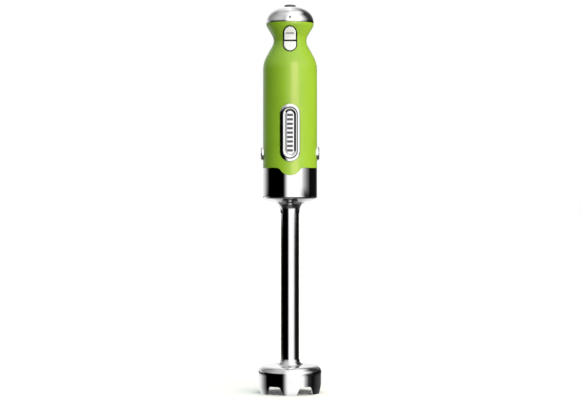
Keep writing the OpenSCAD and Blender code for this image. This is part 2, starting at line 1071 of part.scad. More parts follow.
// Star of round teeth, shared by both halves of the coupling
module star(core, tooth, z, h) {
    translate([0, 0, z]) {
        cylinder(r = core, h = h);
        for (a = [0:60:300])
            rotate([0, 0, a])
                translate([5, 0, 0]) cylinder(r = tooth, h = h, $fn = 32);
    }
}

module drive_dog() {
    color([0.85, 0.82, 0.70])
        difference() {
            star(4.5, 1.1, dog_z + dog_floor + 0.8, dog_h - 3);
            translate([0, 0, rotor_low_z]) cylinder(r = rotor_shaft_r + press_gap, h = dog_h);
        }
}

// ---------- Dial ----------

module speed_dial() {
    hub_wall = 2;
    height = dome_h - 0.2;
    color(chrome)
        difference() {
            union() {
                difference() {
                    dome_solid(rim_r, height, dome_z);
                    dome_solid(rim_r - dome_wall, height - dome_wall, dome_z);
                }
                intersection() {
                    ring(dial_bore_r + hub_wall, dial_bore_r, dome_z + 3, dome_h);
                    dome_solid(rim_r, height, dome_z);
                }
            }
            translate([0, 0, rim_z]) cylinder(r = gland_neck_r + free_gap, h = dome_h + 1);
            translate([0, 0, rim_z]) cylinder(r = dial_bore_r, h = dome_h - 5);
            mark_shape(press_gap, 0.5);
        }
}

module dome_solid(a, b, z) {
    rotate_extrude()
        polygon(concat(dome_curve(a, b, z, 24), [[0, z]]));
}

// The index mark, a small pill let into the front of the dome
module mark_shape(gap, depth) {
    w = 1.3 + 2 * gap;
    h = 1.8 + 2 * gap;
    height = dome_h - 0.2;
    intersection() {
        pill_bar(w, h, mark_z, 0, beyond);
        difference() {
            dome_solid(rim_r, height, dome_z);
            dome_solid(rim_r - depth, height - depth, dome_z);
        }
    }
}

module dial_mark() {
    color(black)
        mark_shape(0, 0.49);
}

module dial_wiper() {
    arm_z = dome_z + 2.4;
    arm_t = 0.55;
    tip_z = track_z + track_t + 0.3;
    color(brass) {
        ring(track_r + 0.9, dial_bore_r + 0.3, arm_z, arm_t);
        for (a = [80, 100])
            rotate([0, 0, a])
                translate([track_r, 0, tip_z]) cylinder(r = 0.7, h = arm_z + 0.1 - tip_z);
    }
}

// ---------- Shaft ----------

// Bright collar: a drum below the handle that runs down into the tube like a trumpet
module shaft_collar() {
    bore = tube_r + seat_gap;
    ledge_r = inner_r - 6;
    sleeve_z = shaft_rise - 15;
    color(chrome)
        difference() {
            rotate_extrude()
                polygon(rounded([
                    [bore, sleeve_z],
                    [tube_r + 0.25, sleeve_z],
                    [tube_r + 0.8, shaft_rise - 7.5, 10],
                    [tube_r + 6, shaft_rise - 3.4, 10],
                    [handle_r, shaft_rise + 0.4, 2.5],
                    [handle_r, hem_z + 1],
                    [inner_r, hem_z + 1],
                    [inner_r, ledge_z],
                    [ledge_r, ledge_z],
                    [ledge_r, ledge_z - 5],
                    [inner_r, ledge_z - 8],
                    [inner_r, hub_z],
                    [bore, hub_z],
                ]));
            above_hem(0.15);
            for (a = collar_angles)
                rotate([0, 0, a])
                    translate([collar_screw_r, 0, ledge_z - 6]) cylinder(r = tapped_r, h = collar_h);
        }
}

module coupling_housing() {
    tube_bore = tube_r + seat_gap;
    hub_r = tube_bore + 2.7;
    skirt_r = inner_r - 2.4;
    rim_out = inner_r - seat_gap;
    web_low = flange_z - 6.2;
    edge = 0.8;
    well_z = flange_z - 0.7;
    seat_z = tube_top_z + 6;
    clear_bore = spindle_r + 0.6;
    slot_in = well_r - 2;
    slot_out = latch_x + 6;
    slot_half = latch_half + 0.6;
    color(black)
        difference() {
            rotate_extrude()
                polygon([
                    [tube_bore, hub_z],
                    [hub_r, hub_z],
                    [hub_r, web_low],
                    [skirt_r, web_low],
                    [skirt_r, ledge_z],
                    [rim_out, ledge_z],
                    [rim_out, flange_z],
                    [spigot_r, flange_z],
                    [spigot_r, spigot_top_z - edge],
                    [spigot_r - edge, spigot_top_z],
                    [well_r, spigot_top_z],
                    [well_r, well_z],
                    [bush_r, well_z],
                    [bush_r, seat_z],
                    [clear_bore, seat_z],
                    [clear_bore, tube_top_z],
                    [tube_bore, tube_top_z],
                ]);
            for (side = [-1, 1]) {
                translate([side < 0 ? -slot_out : slot_in, -slot_half, latch_z - 3])
                    cube([slot_out - slot_in, 2 * slot_half, 40]);
                rod_y(pin_r + press_gap, side * latch_x, latch_z, -pin_half - 0.2, pin_half + 0.2);
            }
            for (a = collar_angles)
                rotate([0, 0, a])
                    translate([collar_screw_r, 0, 0]) {
                        translate([0, 0, ledge_z - 1]) cylinder(r = clear_r, h = 13);
                        translate([0, 0, flange_z - 2.4])
                            cylinder(r = collar_head_r + head_gap, h = 13);
                    }
        }
}

module collar_screws() {
    color(steel)
        screws_down(
            angles = collar_angles, circle_r = collar_screw_r, head_z = flange_z - 0.3,
            head_r = collar_head_r, head_h = 2, shank_r = screw_r, length = 14
        );
}

module latch_pins() {
    color(steel)
        for (side = [-1, 1])
            rod_y(pin_r, side * latch_x, latch_z, -pin_half, pin_half);
}

// A lever that pivots at its foot, with a push pad and a hook at its top
module latch(side) {
    foot_r = 2.1;
    back = -1;
    front = 0.9;
    pad = 1.9;
    pad_z = release_z - latch_z;
    hook_z = spigot_top_z - 2.6 - latch_z;
    top = hook_z + 2.2;
    color(steel)
        translate([side * latch_x, latch_half, latch_z])
            mirror([side < 0 ? 1 : 0, 0, 0])
                rotate([90, 0, 0])
                    difference() {
                        linear_extrude(height = 2 * latch_half) {
                            circle(r = foot_r);
                            polygon([
                                [back, 0],
                                [front, 0],
                                [front, pad_z - 2.2],
                                [pad, pad_z - 1.4],
                                [pad, pad_z + 1.4],
                                [front, pad_z + 2.2],
                                [front, hook_z],
                                [pad, hook_z],
                                [0.6, top],
                                [back, top],
                            ]);
                        }
                        translate([0, 0, -1]) cylinder(r = pin_r + 0.08, h = 2 * latch_half + 2);
                    }
}

module latch_left() {
    latch(-1);
}

module latch_right() {
    latch(1);
}

module shaft_tube() {
    color(chrome)
        ring(tube_r, tube_r - tube_wall, tube_bottom_z, tube_top_z - tube_bottom_z);
}

module blade_guard() {
    bore = tube_r + seat_gap;
    in_r = guard_r - guard_wall;
    ceiling = guard_h - guard_wall - 0.6;
    bearing_boss_r = bush_r + 5.5;
    color(chrome)
        difference() {
            rotate_extrude()
                polygon(rounded([
                    [guard_r - wall_slope, 0],
                    [guard_r, foot_h],
                    [guard_r, guard_h - 1, 6.8],
                    [tube_r + 3.7, guard_h, 1.6],
                    [tube_r + 0.7, guard_h + 3.4, 2],
                    [tube_r + 0.3, guard_h + 5.8],
                    [bore, guard_h + 5.8],
                    [bore, tube_bottom_z],
                    [bush_r, tube_bottom_z],
                    [bush_r, boss_bottom_z],
                    [bearing_boss_r, boss_bottom_z],
                    [bearing_boss_r, ceiling],
                    [in_r, ceiling - 0.3, 5],
                    [in_r, foot_h],
                    [in_r - wall_slope, 0],
                ]));
            for (i = [0:feet - 1])
                rotate([0, 0, 90 + 180 / feet + i * 360 / feet])
                    arch();
        }
}

// The radial prism that cuts one arch
module arch() {
    half = guard_r * sin(arch_span / 2);
    lean = 3.3;
    translate([boss_bottom_z, 0, 0])
        rotate([90, 0, 90])
            linear_extrude(height = 2 * guard_r)
                polygon(rounded([
                    [-half - 1.2, -2],
                    [half + 1.2, -2],
                    [half, 0, 2],
                    [half - lean, arch_h, 3],
                    [-half + lean, arch_h, 3],
                    [-half, 0, 2],
                ]));
}

module bush(z, h) {
    color(brass)
        ring(bush_r - seat_gap, spindle_r + run_gap, z, h);
}

module upper_bush() {
    bush(tube_top_z + 6, 10);
}

module lower_bush() {
    bush(boss_bottom_z + 3.2, 8);
}

module shaft_seal() {
    color([0.55, 0.12, 0.10])
        rotate_extrude()
            polygon([
                [spindle_r + 0.1, boss_bottom_z + 0.6],
                [bush_r - seat_gap, boss_bottom_z],
                [bush_r - seat_gap, boss_bottom_z + 3],
                [spindle_r + 1, boss_bottom_z + 3],
            ]);
}

// ---------- Spindle ----------

module drive_shaft() {
    color(steel)
        difference() {
            translate([0, 0, spindle_bottom_z])
                cylinder(r = spindle_r, h = dog_z + dog_floor - spindle_bottom_z);
            ring(2 * spindle_r, spindle_r - groove_depth, clip_z, clip_t + 2 * seat_gap);
        }
}

// Cup with a star-shaped socket for the motor's dog
module shaft_dog() {
    color([0.85, 0.82, 0.70])
        difference() {
            translate([0, 0, dog_z]) cylinder(r = dog_r, h = dog_h);
            translate([0, 0, dog_z - 1]) cylinder(r = spindle_r + press_gap, h = dog_h);
            star(4.9, 1.5, dog_z + dog_floor, dog_h);
        }
}

module shaft_clip() {
    opening = 3;
    color(steel)
        difference() {
            ring(spindle_r + 2, spindle_r - groove_depth + seat_gap, clip_z + seat_gap, clip_t);
            translate([0, -opening / 2, clip_z - 1]) cube([10, opening, 3]);
        }
}

// Two swept wings on a round hub, pitched against each other
module blade() {
    tip_r = guard_r - guard_wall - 5;
    color(steel)
        difference() {
            union() {
                ring(6.4, spindle_r + press_gap, blade_z, 1.6);
                for (a = [0, 180])
                    rotate([0, 0, a])
                        translate([0, 0, blade_z + 0.8])
                            rotate([9, 0, 0])
                                translate([0, 0, -0.6])
                                    linear_extrude(height = 1.2)
                                        polygon(rounded([
                                            [0, -5],
                                            [10, -5.2, 8],
                                            [tip_r - 1, -1, 1],
                                            [tip_r - 2.5, 4.5, 1.5],
                                            [9, 4.2, 8],
                                            [0, 5],
                                        ]));
            }
            translate([0, 0, blade_z - 3]) cylinder(r = spindle_r + press_gap, h = 8);
        }
}

module blade_nut() {
    color(steel)
        difference() {
            translate([0, 0, spindle_bottom_z - 0.4])
                cylinder(r = 4.6, h = blade_z - spindle_bottom_z - 0.6, $fn = 6);
            translate([0, 0, spindle_bottom_z]) cylinder(r = spindle_r + press_gap, h = 8);
        }
}

housing();
dial_carrier();
cord_gland();
speed_track();
circuit_board();
board_parts();
switch_bezel();
switch_carrier();
micro_switches();
on_spring();
turbo_spring();
badge_frame();
badge_plate();
handle_socket();
socket_cap();
socket_screws();
release_spring_left();
release_spring_right();
motor_mounts();
stator_core();
field_coils();
lower_motor_frame();
upper_motor_frame();
lower_bearing();
upper_bearing();
motor_bolts();
brush_holders();
carbon_brushes();
speed_dial();
dial_wiper();
dial_mark();
on_button();
turbo_button();
release_button_left();
release_button_right();
armature_shaft();
armature_core();
armature_winding();
commutator();
cooling_fan();
drive_dog();
shaft_collar();
coupling_housing();
collar_screws();
shaft_tube();
blade_guard();
upper_bush();
lower_bush();
shaft_seal();
latch_pins();
latch_left();
latch_right();
drive_shaft();
shaft_dog();
shaft_clip();
blade();
blade_nut();
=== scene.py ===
"""Looks of the hand-held immersion blender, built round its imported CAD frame."""

import json
import math

import bmesh
import bpy
import numpy as np
from mathutils import Matrix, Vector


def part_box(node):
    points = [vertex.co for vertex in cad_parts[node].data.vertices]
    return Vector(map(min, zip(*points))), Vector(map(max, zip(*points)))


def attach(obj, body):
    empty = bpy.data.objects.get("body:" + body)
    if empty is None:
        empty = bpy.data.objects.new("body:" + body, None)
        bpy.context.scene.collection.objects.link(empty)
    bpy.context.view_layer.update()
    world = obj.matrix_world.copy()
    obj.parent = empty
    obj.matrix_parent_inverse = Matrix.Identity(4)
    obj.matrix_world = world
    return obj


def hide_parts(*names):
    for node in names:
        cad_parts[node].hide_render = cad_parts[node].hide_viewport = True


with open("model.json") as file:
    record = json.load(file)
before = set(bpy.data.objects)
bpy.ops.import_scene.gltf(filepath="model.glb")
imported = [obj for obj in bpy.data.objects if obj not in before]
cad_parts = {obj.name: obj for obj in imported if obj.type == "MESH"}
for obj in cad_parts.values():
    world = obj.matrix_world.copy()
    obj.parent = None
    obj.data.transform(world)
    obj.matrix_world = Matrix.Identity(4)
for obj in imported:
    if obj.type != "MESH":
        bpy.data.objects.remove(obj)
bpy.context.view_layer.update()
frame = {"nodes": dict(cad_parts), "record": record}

MM = 0.001
SEGMENTS = 216
# How far a cutter reaches past what it cuts, and past the plane where it starts
BEYOND = 60
SEAM = 0.001
# Clearance round a piece in its window
WINDOW_GAP = 0.05

# Sizes in millimetres, read from the frame where a node's box gives them
housing_low, housing_high = (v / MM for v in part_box("housing"))
tube_low, tube_high = (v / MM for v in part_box("shaft_tube"))
guard_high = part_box("blade_guard")[1] / MM
dial_low, dial_high = (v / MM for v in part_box("speed_dial"))
bezel_low, bezel_high = (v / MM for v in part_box("switch_bezel"))
badge_low, badge_high = (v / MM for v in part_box("badge_frame"))
button_low, button_high = (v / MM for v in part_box("release_button_right"))

# Handle
HANDLE_R = housing_high.x
HANDLE_WALL = 2.4
INNER_R = HANDLE_R - HANDLE_WALL
RIM_Z = housing_high.z
LOBE_DROP = 7.5
LOBE_W = 27.8
LOBE_STEP = 2.3
LOBE_FLAT = 0.42
LOBE_FILLET = 5
HEM_Z = housing_low.z + LOBE_DROP
SKIRT_Z = HEM_Z - LOBE_DROP - 1
GRIP_H = 109
NECK_LOW = 22.5
NECK_HIGH = 15.5
GRIP_TOP_Z = HEM_Z + GRIP_H
WAIST_Z = GRIP_TOP_Z + NECK_LOW
SHOULDER_Z = WAIST_Z + NECK_HIGH
RIM_R = 24.5
RIM_FILLET = 0.35
WAIST_CORNER_R = 15.2
SHOULDER_FILLET = 7.5
WAIST_FILLET = 11.3
GRIP_FILLET = 30

# Switches
SWITCH_W = bezel_high.x - bezel_low.x
SWITCH_H = bezel_high.z - bezel_low.z
SWITCH_Z = (bezel_high.z + bezel_low.z) / 2
SWITCH_RING = 0.9
SWITCH_PROUD = 0.8
SPLIT_Z = SWITCH_Z - 1.6
SPLIT_GAP = 1.6
BUTTON_BACK = 13.2
BUTTON_FLAT = 0.5
BUTTON_GAP = 0.25
BUTTON_CORNER = 0.8
STEM_R = 1.9
STEM_INSET = 0.9
SWITCH_WINDOW_BACK = 8
TURBO_Z = SPLIT_Z + 7.3
ON_Z = SPLIT_Z - 5.7

# Badge
BADGE_W = badge_high.x - badge_low.x
BADGE_H = badge_high.z - badge_low.z
BADGE_Z = (badge_high.z + badge_low.z) / 2
BADGE_BEAD = 6.0
BADGE_SEAT_R = HANDLE_R - 0.65 * HANDLE_WALL
BADGE_FACE_R = HANDLE_R - 0.9
BARS = 9
BAR_H = 2.5
BAR_SHARE = 0.72

# Release buttons
RELEASE_R = 7.1
RELEASE_X = button_high.x
RELEASE_Z = (button_high.z + button_low.z) / 2
RELEASE_BACK = 22.95
RELEASE_GAP = 0.125
RELEASE_LIP = 0.8
RELEASE_LIP_H = 1.1
RELEASE_WINDOW_BACK = 19
GROOVE_LOW = 0.45
GROOVE_H = 0.9

# Dial
DIAL_WALL = 1.6
DIAL_SWELL = 17.4
DIAL_POWER = 2.2
DIAL_BORE = 5.15
HUB_IN = 7.05
HUB_OUT = 9.05

# Shaft
TUBE_R = tube_high.x
TUBE_WALL = 0.9
TUBE_GAP = 0.05
SHAFT_RISE = HEM_Z - 31.5
GUARD_R = guard_high.x
GUARD_NECK_H = 5.8
GUARD_H = guard_high.z - GUARD_NECK_H
GUARD_WALL = 1.8
FEET = 6

# Camera, in metres
CAMERA_BACK = 1.72
CAMERA_Z = 0.1966
CAMERA_LENS = 103.4


# ---------- Outlines ----------

def corner_arc(a, b, c, radius, step=3.0):
    """Points of the arc that rounds the corner b between a and c."""
    a, b, c = (np.array(p, float) for p in (a, b, c))
    u = (a - b) / np.linalg.norm(a - b)
    v = (c - b) / np.linalg.norm(c - b)
    half = math.acos(max(-1.0, min(1.0, float(u @ v)))) / 2
    middle = b + (u + v) / np.linalg.norm(u + v) * radius / math.sin(half)
    start = b + u * radius / math.tan(half) - middle
    end = b + v * radius / math.tan(half) - middle
    first = math.atan2(start[1], start[0])
    sweep = math.atan2(start[0] * end[1] - start[1] * end[0], float(start @ end))
    steps = max(2, math.ceil(abs(math.degrees(sweep)) / step - 1e-6))
    angles = [first + sweep * i / steps for i in range(steps + 1)]
    return [(middle[0] + radius * math.cos(t), middle[1] + radius * math.sin(t)) for t in angles]


def rounded(path, step=3.0):
    """A closed outline from corners (x, y) or (x, y, radius)."""
    points = []
    for i, corner in enumerate(path):
        if len(corner) == 2:
            points.append((corner[0], corner[1]))
            continue
        before = path[i - 1][:2]
        after = path[(i + 1) % len(path)][:2]
        points += corner_arc(before, corner[:2], after, corner[2], step)
    return points


def neck_corners(out, low_z, high_z):
    """Corners of the handle's outline moved out from the axis, from the rim down."""
    return [
        (RIM_R + out, high_z),
        (RIM_R + out, SHOULDER_Z, SHOULDER_FILLET + min(out, 0)),
        (WAIST_CORNER_R + out, WAIST_Z, WAIST_FILLET - out),
        (HANDLE_R + out, GRIP_TOP_Z, GRIP_FILLET + out),
        (HANDLE_R + out, low_z),
    ]


def superellipse(a, b, z, r_end, steps=72, power=DIAL_POWER):
    """Dome curve from its rim up to the radius r_end."""
    last = math.acos((r_end / a) ** (power / 2))
    turns = [last * i / steps for i in range(steps + 1)]
    return [
        (a * math.cos(t) ** (2 / power), z + b * math.sin(t) ** (2 / power)) for t in turns
    ]


neck_line = rounded(neck_corners(0, SKIRT_Z, RIM_Z) + [(0, 0), (0, RIM_Z)], 2.0)[:-2]
neck_z = np.array([p[1] for p in reversed(neck_line)])
neck_radii = np.array([p[0] for p in reversed(neck_line)])


def neck_r(z):
    """Radius of the handle's outside at a height."""
    return float(np.interp(z, neck_z, neck_radii))


# ---------- Mesh helpers ----------

def new_object(name, mesh):
    obj = bpy.data.objects.new(name, mesh)
    bpy.context.scene.collection.objects.link(obj)
    return obj


def from_bmesh(name, bm):
    """An object from a bmesh in millimetres, with its faces turned outwards."""
    bmesh.ops.recalc_face_normals(bm, faces=bm.faces)
    bmesh.ops.scale(bm, vec=(MM, MM, MM), verts=bm.verts)
    mesh = bpy.data.meshes.new(name)
    bm.to_mesh(mesh)
    bm.free()
    mesh.shade_smooth()
    return new_object(name, mesh)


def lathe(name, outline, segments=SEGMENTS, place=None):
    """A closed outline (r, z) turned about the axis, then moved by a matrix in millimetres."""
    bm = bmesh.new()
    rings = []
    for r, z in outline:
        turns = [2 * math.pi * i / segments for i in range(segments)]
        if r == 0:
            rings.append([bm.verts.new((0, 0, z))] * segments)
            continue
        rings.append([bm.verts.new((r * math.cos(t), r * math.sin(t), z)) for t in turns])
    for ring, after in zip(rings, rings[1:] + rings[:1]):
        for i in range(segments):
            j = (i + 1) % segments
            corners = list(dict.fromkeys((ring[i], ring[j], after[j], after[i])))
            if len(corners) > 2:
                bm.faces.new(corners)
    if place is not None:
        bmesh.ops.transform(bm, matrix=place, verts=bm.verts)
    return from_bmesh(name, bm)


def loft(name, rings, loop=False):
    """A closed skin over rings of equal length. A ring's two halves mirror each other, and the
    first and last rings are closed across; loop joins the last ring to the first instead."""
    bm = bmesh.new()
    rows = [[bm.verts.new(p) for p in ring] for ring in rings]
    count = len(rows[0])
    pairs = list(zip(rows, rows[1:])) + ([(rows[-1], rows[0])] if loop else [])
    for ring, after in pairs:
        for i in range(count):
            j = (i + 1) % count
            bm.faces.new((ring[i], ring[j], after[j], after[i]))
    if not loop:
        for ring in (rows[0], rows[-1]):
            half = count // 2
            bm.faces.new((ring[0], ring[1], ring[-1]))
            for i in range(1, half - 1):
                bm.faces.new((ring[i], ring[i + 1], ring[-i - 1], ring[-i]))
            bm.faces.new((ring[half - 1], ring[half], ring[half + 1]))
    return from_bmesh(name, bm)


def prism(name, outline, near, far, turn=0.0):
    """An outline (x, z) pushed along Y from near to far, turned about Z."""
    bm = bmesh.new()
    front = [bm.verts.new((x, near, z)) for x, z in outline]
    back = [bm.verts.new((x, far, z)) for x, z in outline]
    bm.faces.new(front)
    bm.faces.new(list(reversed(back)))
    for i in range(len(outline)):
        j = (i + 1) % len(outline)
        bm.faces.new((front[i], back[i], back[j], front[j]))
    bmesh.ops.rotate(bm, matrix=Matrix.Rotation(turn, 3, "Z"), verts=bm.verts, cent=(0, 0, 0))
    return from_bmesh(name, bm)


def apply_modifiers(obj):
    graph = bpy.context.evaluated_depsgraph_get()
    mesh = bpy.data.meshes.new_from_object(obj.evaluated_get(graph))
    obj.modifiers.clear()
    old = obj.data
    obj.data = mesh
    mesh.name = obj.name
    if old.users == 0:
        bpy.data.meshes.remove(old)


def cut(obj, *cutters):
    """Takes each cutter out of the object, and removes the cutter."""
    for cutter in cutters:
        modifier = obj.modifiers.new("cut", "BOOLEAN")
        modifier.operation = "DIFFERENCE"
        modifier.solver = "EXACT"
        modifier.object = cutter
        apply_modifiers(obj)
        bpy.data.objects.remove(cutter)
    return obj


def unit_rows(v):
    return v / np.maximum(np.linalg.norm(v, axis=1), 1e-12)[:, None]


def shade_lathe(obj, outline, place=None, sharp=28.0, agree=0.86, batch=4000):
    """Gives the turned faces of a cut lathe the true normals of its outline, in millimetres.
    A corner sharper than the angle sharp stays an edge. A face whose own normal doesn't agree
    with the outline, such as one that a cutter left, keeps its own."""
    mesh = obj.data
    mesh.shade_smooth()
    points = np.array(outline, float)
    along = np.roll(points, -1, 0) - points
    keep = np.hypot(along[:, 0], along[:, 1]) > 1e-9
    points, along = points[keep], along[keep]
    after = np.roll(points, -1, 0)
    area = float(np.sum(points[:, 0] * after[:, 1] - after[:, 0] * points[:, 1]))
    out = unit_rows(np.stack([along[:, 1], -along[:, 0]], 1)) * math.copysign(1, area)
    before_out, after_out = np.roll(out, 1, 0), np.roll(out, -1, 0)
    limit = math.cos(math.radians(sharp))
    meets_before = (out * before_out).sum(1) > limit
    meets_after = (out * after_out).sum(1) > limit
    start_n = np.where(meets_before[:, None], unit_rows(out + before_out), out)
    end_n = np.where(meets_after[:, None], unit_rows(out + after_out), out)
    back = np.array((place or Matrix.Identity(4)).inverted())
    turn_in, turn_out = back[:3, :3], np.linalg.inv(back[:3, :3])

    def local(flat):
        xyz = flat.reshape(-1, 3) / MM
        return xyz @ turn_in.T + back[:3, 3]

    verts = np.zeros(len(mesh.vertices) * 3)
    mesh.vertices.foreach_get("co", verts)
    verts = local(verts)
    centres = np.zeros(len(mesh.polygons) * 3)
    mesh.polygons.foreach_get("center", centres)
    centres = local(centres)
    face_n = np.zeros(len(mesh.polygons) * 3)
    mesh.polygons.foreach_get("normal", face_n)
    face_n = face_n.reshape(-1, 3) @ turn_in.T
    totals = np.zeros(len(mesh.polygons), int)
    mesh.polygons.foreach_get("loop_total", totals)
    loop_vert = np.zeros(len(mesh.loops), int)
    mesh.loops.foreach_get("vertex_index", loop_vert)

    # The outline's segment that each face lies on, by distance and by direction
    flat_centres = np.stack([np.hypot(centres[:, 0], centres[:, 1]), centres[:, 2]], 1)
    radial = unit_rows(centres[:, :2])
    flat_n = np.stack([(face_n[:, :2] * radial).sum(1), face_n[:, 2]], 1)
    nearest = np.zeros(len(centres), int)
    squares = (along ** 2).sum(1)
    for low in range(0, len(centres), batch):
        c = flat_centres[low:low + batch]
        t = ((c[:, None] - points[None]) * along[None]).sum(2) / squares[None]
        foot = points[None] + np.clip(t, 0, 1)[:, :, None] * along[None]
        gap = np.linalg.norm(c[:, None] - foot, axis=2)
        turned = 1 - (flat_n[low:low + batch, None] * out[None]).sum(2)
        nearest[low:low + batch] = np.argmin(gap + 0.5 * turned, axis=1)

    # The normal at each face corner, between those at the segment's two ends
    segment = np.repeat(nearest, totals)
    face_of_loop = np.repeat(np.arange(len(centres)), totals)
    v = verts[loop_vert]
    flat_v = np.stack([np.hypot(v[:, 0], v[:, 1]), v[:, 2]], 1)
    t = np.clip(((flat_v - points[segment]) * along[segment]).sum(1) / squares[segment], 0, 1)
    n2 = unit_rows(start_n[segment] * (1 - t)[:, None] + end_n[segment] * t[:, None])
    turn = unit_rows(v[:, :2])
    true_n = np.stack([n2[:, 0] * turn[:, 0], n2[:, 0] * turn[:, 1], n2[:, 1]], 1)
    plain = face_n[face_of_loop]
    good = (true_n * plain).sum(1) > agree
    normals = np.where(good[:, None], true_n, plain) @ turn_out.T
    mesh.normals_split_custom_set(normals.tolist())


def mirrored(right):
    """A closed ring from its right half, which runs from the bottom centre to the top centre."""
    return right + [(-x, z) for x, z in reversed(right[1:-1])]


def slab_half(w, z_low, z_high, r_low, r_high, inset, step=0.9):
    """Right half of an upright slab's outline with rounded corners, inset from its edge.
    Its point count doesn't depend on the inset."""
    def half(t):
        a, low, high = w / 2 - t, z_low + t, z_high - t
        low_r = max(min(r_low - t, a - 1e-4), 0.02)
        high_r = max(min(r_high - t, a - 1e-4), 0.02)
        line = [(0.0, low)]
        line += corner_arc((0, low), (a, low), (a, high), low_r, 6.0)
        line += corner_arc((a, low), (a, high), (0, high), high_r, 6.0)
        return line + [(0.0, high)]

    base = half(0.0)
    counts = [max(1, math.ceil(math.dist(p, q) / step)) for p, q in zip(base, base[1:])]
    line = half(inset)
    points = []
    for p, q, n in zip(line, line[1:], counts):
        points += [(p[0] + (q[0] - p[0]) * i / n, p[1] + (q[1] - p[1]) * i / n) for i in range(n)]
    return points + [line[-1]]


def on_neck(ring, out, flat=1.0):
    """A ring (x, z) laid on the neck's front, a distance out of its surface. A flat below 1
    makes it flatter across than the neck."""
    return [(x, -math.sqrt(max((neck_r(z) + out) ** 2 - flat * x * x, 0)), z) for x, z in ring]


def on_grip(ring, r):
    """A ring (x, z) laid on the front of a cylinder."""
    return [(x, -math.sqrt(r * r - x * x), z) for x, z in ring]


def at_depth(ring, y):
    return [(x, -y, z) for x, z in ring]


# ---------- Materials ----------

class Nodes:
    """A material's node tree, with short calls for what its finishes share."""

    def __init__(self, name):
        self.material = bpy.data.materials.new(name)
        self.material.use_nodes = True
        self.tree = self.material.node_tree
        self.shader = self.tree.nodes["Principled BSDF"]
        self.place = self.tree.nodes.new("ShaderNodeTexCoord").outputs["Object"]

    def add(self, kind, **inputs):
        node = self.tree.nodes.new(kind)
        for key, value in inputs.items():
            node.inputs[key.replace("_", " ")].default_value = value
        return node

    def link(self, source, target):
        self.tree.links.new(source, target)

    def set(self, **values):
        for key, value in values.items():
            self.shader.inputs[key.replace("_", " ")].default_value = value

    def stretched(self, scale):
        mapping = self.add("ShaderNodeMapping")
        mapping.inputs["Scale"].default_value = scale
        self.link(self.place, mapping.inputs["Vector"])
        return mapping.outputs["Vector"]

    def noise(self, size, detail=3.0, rough=0.5, stretch=(1, 1, 1)):
        """Noise whose blobs are about a size in metres."""
        node = self.add("ShaderNodeTexNoise", Scale=1.0 / size, Detail=detail, Roughness=rough)
        self.link(self.stretched(stretch), node.inputs["Vector"])
        return node.outputs["Fac"]

    def spread(self, source, low, high, start=0.3, end=0.7):
        node = self.add("ShaderNodeMapRange")
        node.inputs["From Min"].default_value = start
        node.inputs["From Max"].default_value = end
        node.inputs["To Min"].default_value = low
        node.inputs["To Max"].default_value = high
        self.link(source, node.inputs["Value"])
        return node.outputs["Result"]

    def tint(self, source, dark, light, start=0.3, end=0.7):
        ramp = self.add("ShaderNodeValToRGB")
        ramp.color_ramp.elements[0].position = start
        ramp.color_ramp.elements[1].position = end
        ramp.color_ramp.elements[0].color = (*dark, 1)
        ramp.color_ramp.elements[1].color = (*light, 1)
        self.link(source, ramp.inputs["Fac"])
        self.link(ramp.outputs["Color"], self.shader.inputs["Base Color"])

    def bump(self, source, height, strength=1.0):
        """A bump of a height in metres."""
        node = self.add("ShaderNodeBump", Strength=strength, Distance=height)
        self.link(source, node.inputs["Height"])
        chained = self.shader.inputs["Normal"].links
        if chained:
            self.link(chained[0].from_socket, node.inputs["Normal"])
        self.link(node.outputs["Normal"], self.shader.inputs["Normal"])

    def rough(self, source, low, high):
        self.link(self.spread(source, low, high), self.shader.inputs["Roughness"])


def shade(colour, factor):
    return tuple(min(1.0, c * factor) for c in colour)


def plastic(name, colour, low, high, grain, height, coat=0.0):
    """Moulded plastic: faint flow marks, a fine moulded grain and uneven gloss."""
    n = Nodes(name)
    n.tint(n.noise(0.035, 2.0), shade(colour, 0.94), shade(colour, 1.05))
    n.rough(n.noise(0.012, 4.0, 0.6), low, high)
    n.bump(n.noise(grain, 2.0), height)
    n.set(Coat_Weight=coat, Coat_Roughness=0.12, Specular_IOR_Level=0.5)
    return n.material


def metal(name, colour, low, high, stretch, grain, height, tone=0.05):
    """Bare or plated metal: handling marks in its gloss and fine lines from polishing."""
    n = Nodes(name)
    n.tint(n.noise(0.02, 3.0), shade(colour, 1 - tone), shade(colour, 1 + tone))
    n.rough(n.noise(0.009, 5.0, 0.65), low, high)
    n.bump(n.noise(grain, 3.0, 0.6, stretch), height)
    n.set(Metallic=1.0)
    return n.material


def laminations():
    """Varnished sheets, stacked up the axis."""
    n = Nodes("steel_laminations")
    wave = n.add("ShaderNodeTexWave", Scale=320.0, Distortion=0.3)
    wave.bands_direction = "Z"
    n.link(n.place, wave.inputs["Vector"])
    n.tint(wave.outputs["Fac"], (0.10, 0.10, 0.11), (0.24, 0.245, 0.26), 0.2, 0.8)
    n.rough(n.noise(0.004), 0.38, 0.6)
    n.bump(wave.outputs["Fac"], 0.00006)
    n.set(Metallic=0.6)
    return n.material


def windings():
    """Enamelled wire, laid side by side."""
    n = Nodes("copper")
    wave = n.add("ShaderNodeTexWave", Scale=420.0, Distortion=1.2, Detail=1.0)
    wave.bands_direction = "DIAGONAL"
    n.link(n.place, wave.inputs["Vector"])
    n.tint(wave.outputs["Fac"], (0.30, 0.10, 0.03), (0.78, 0.36, 0.15), 0.1, 0.7)
    n.rough(n.noise(0.003), 0.22, 0.4)
    n.bump(wave.outputs["Fac"], 0.00012)
    n.set(Metallic=0.9)
    return n.material


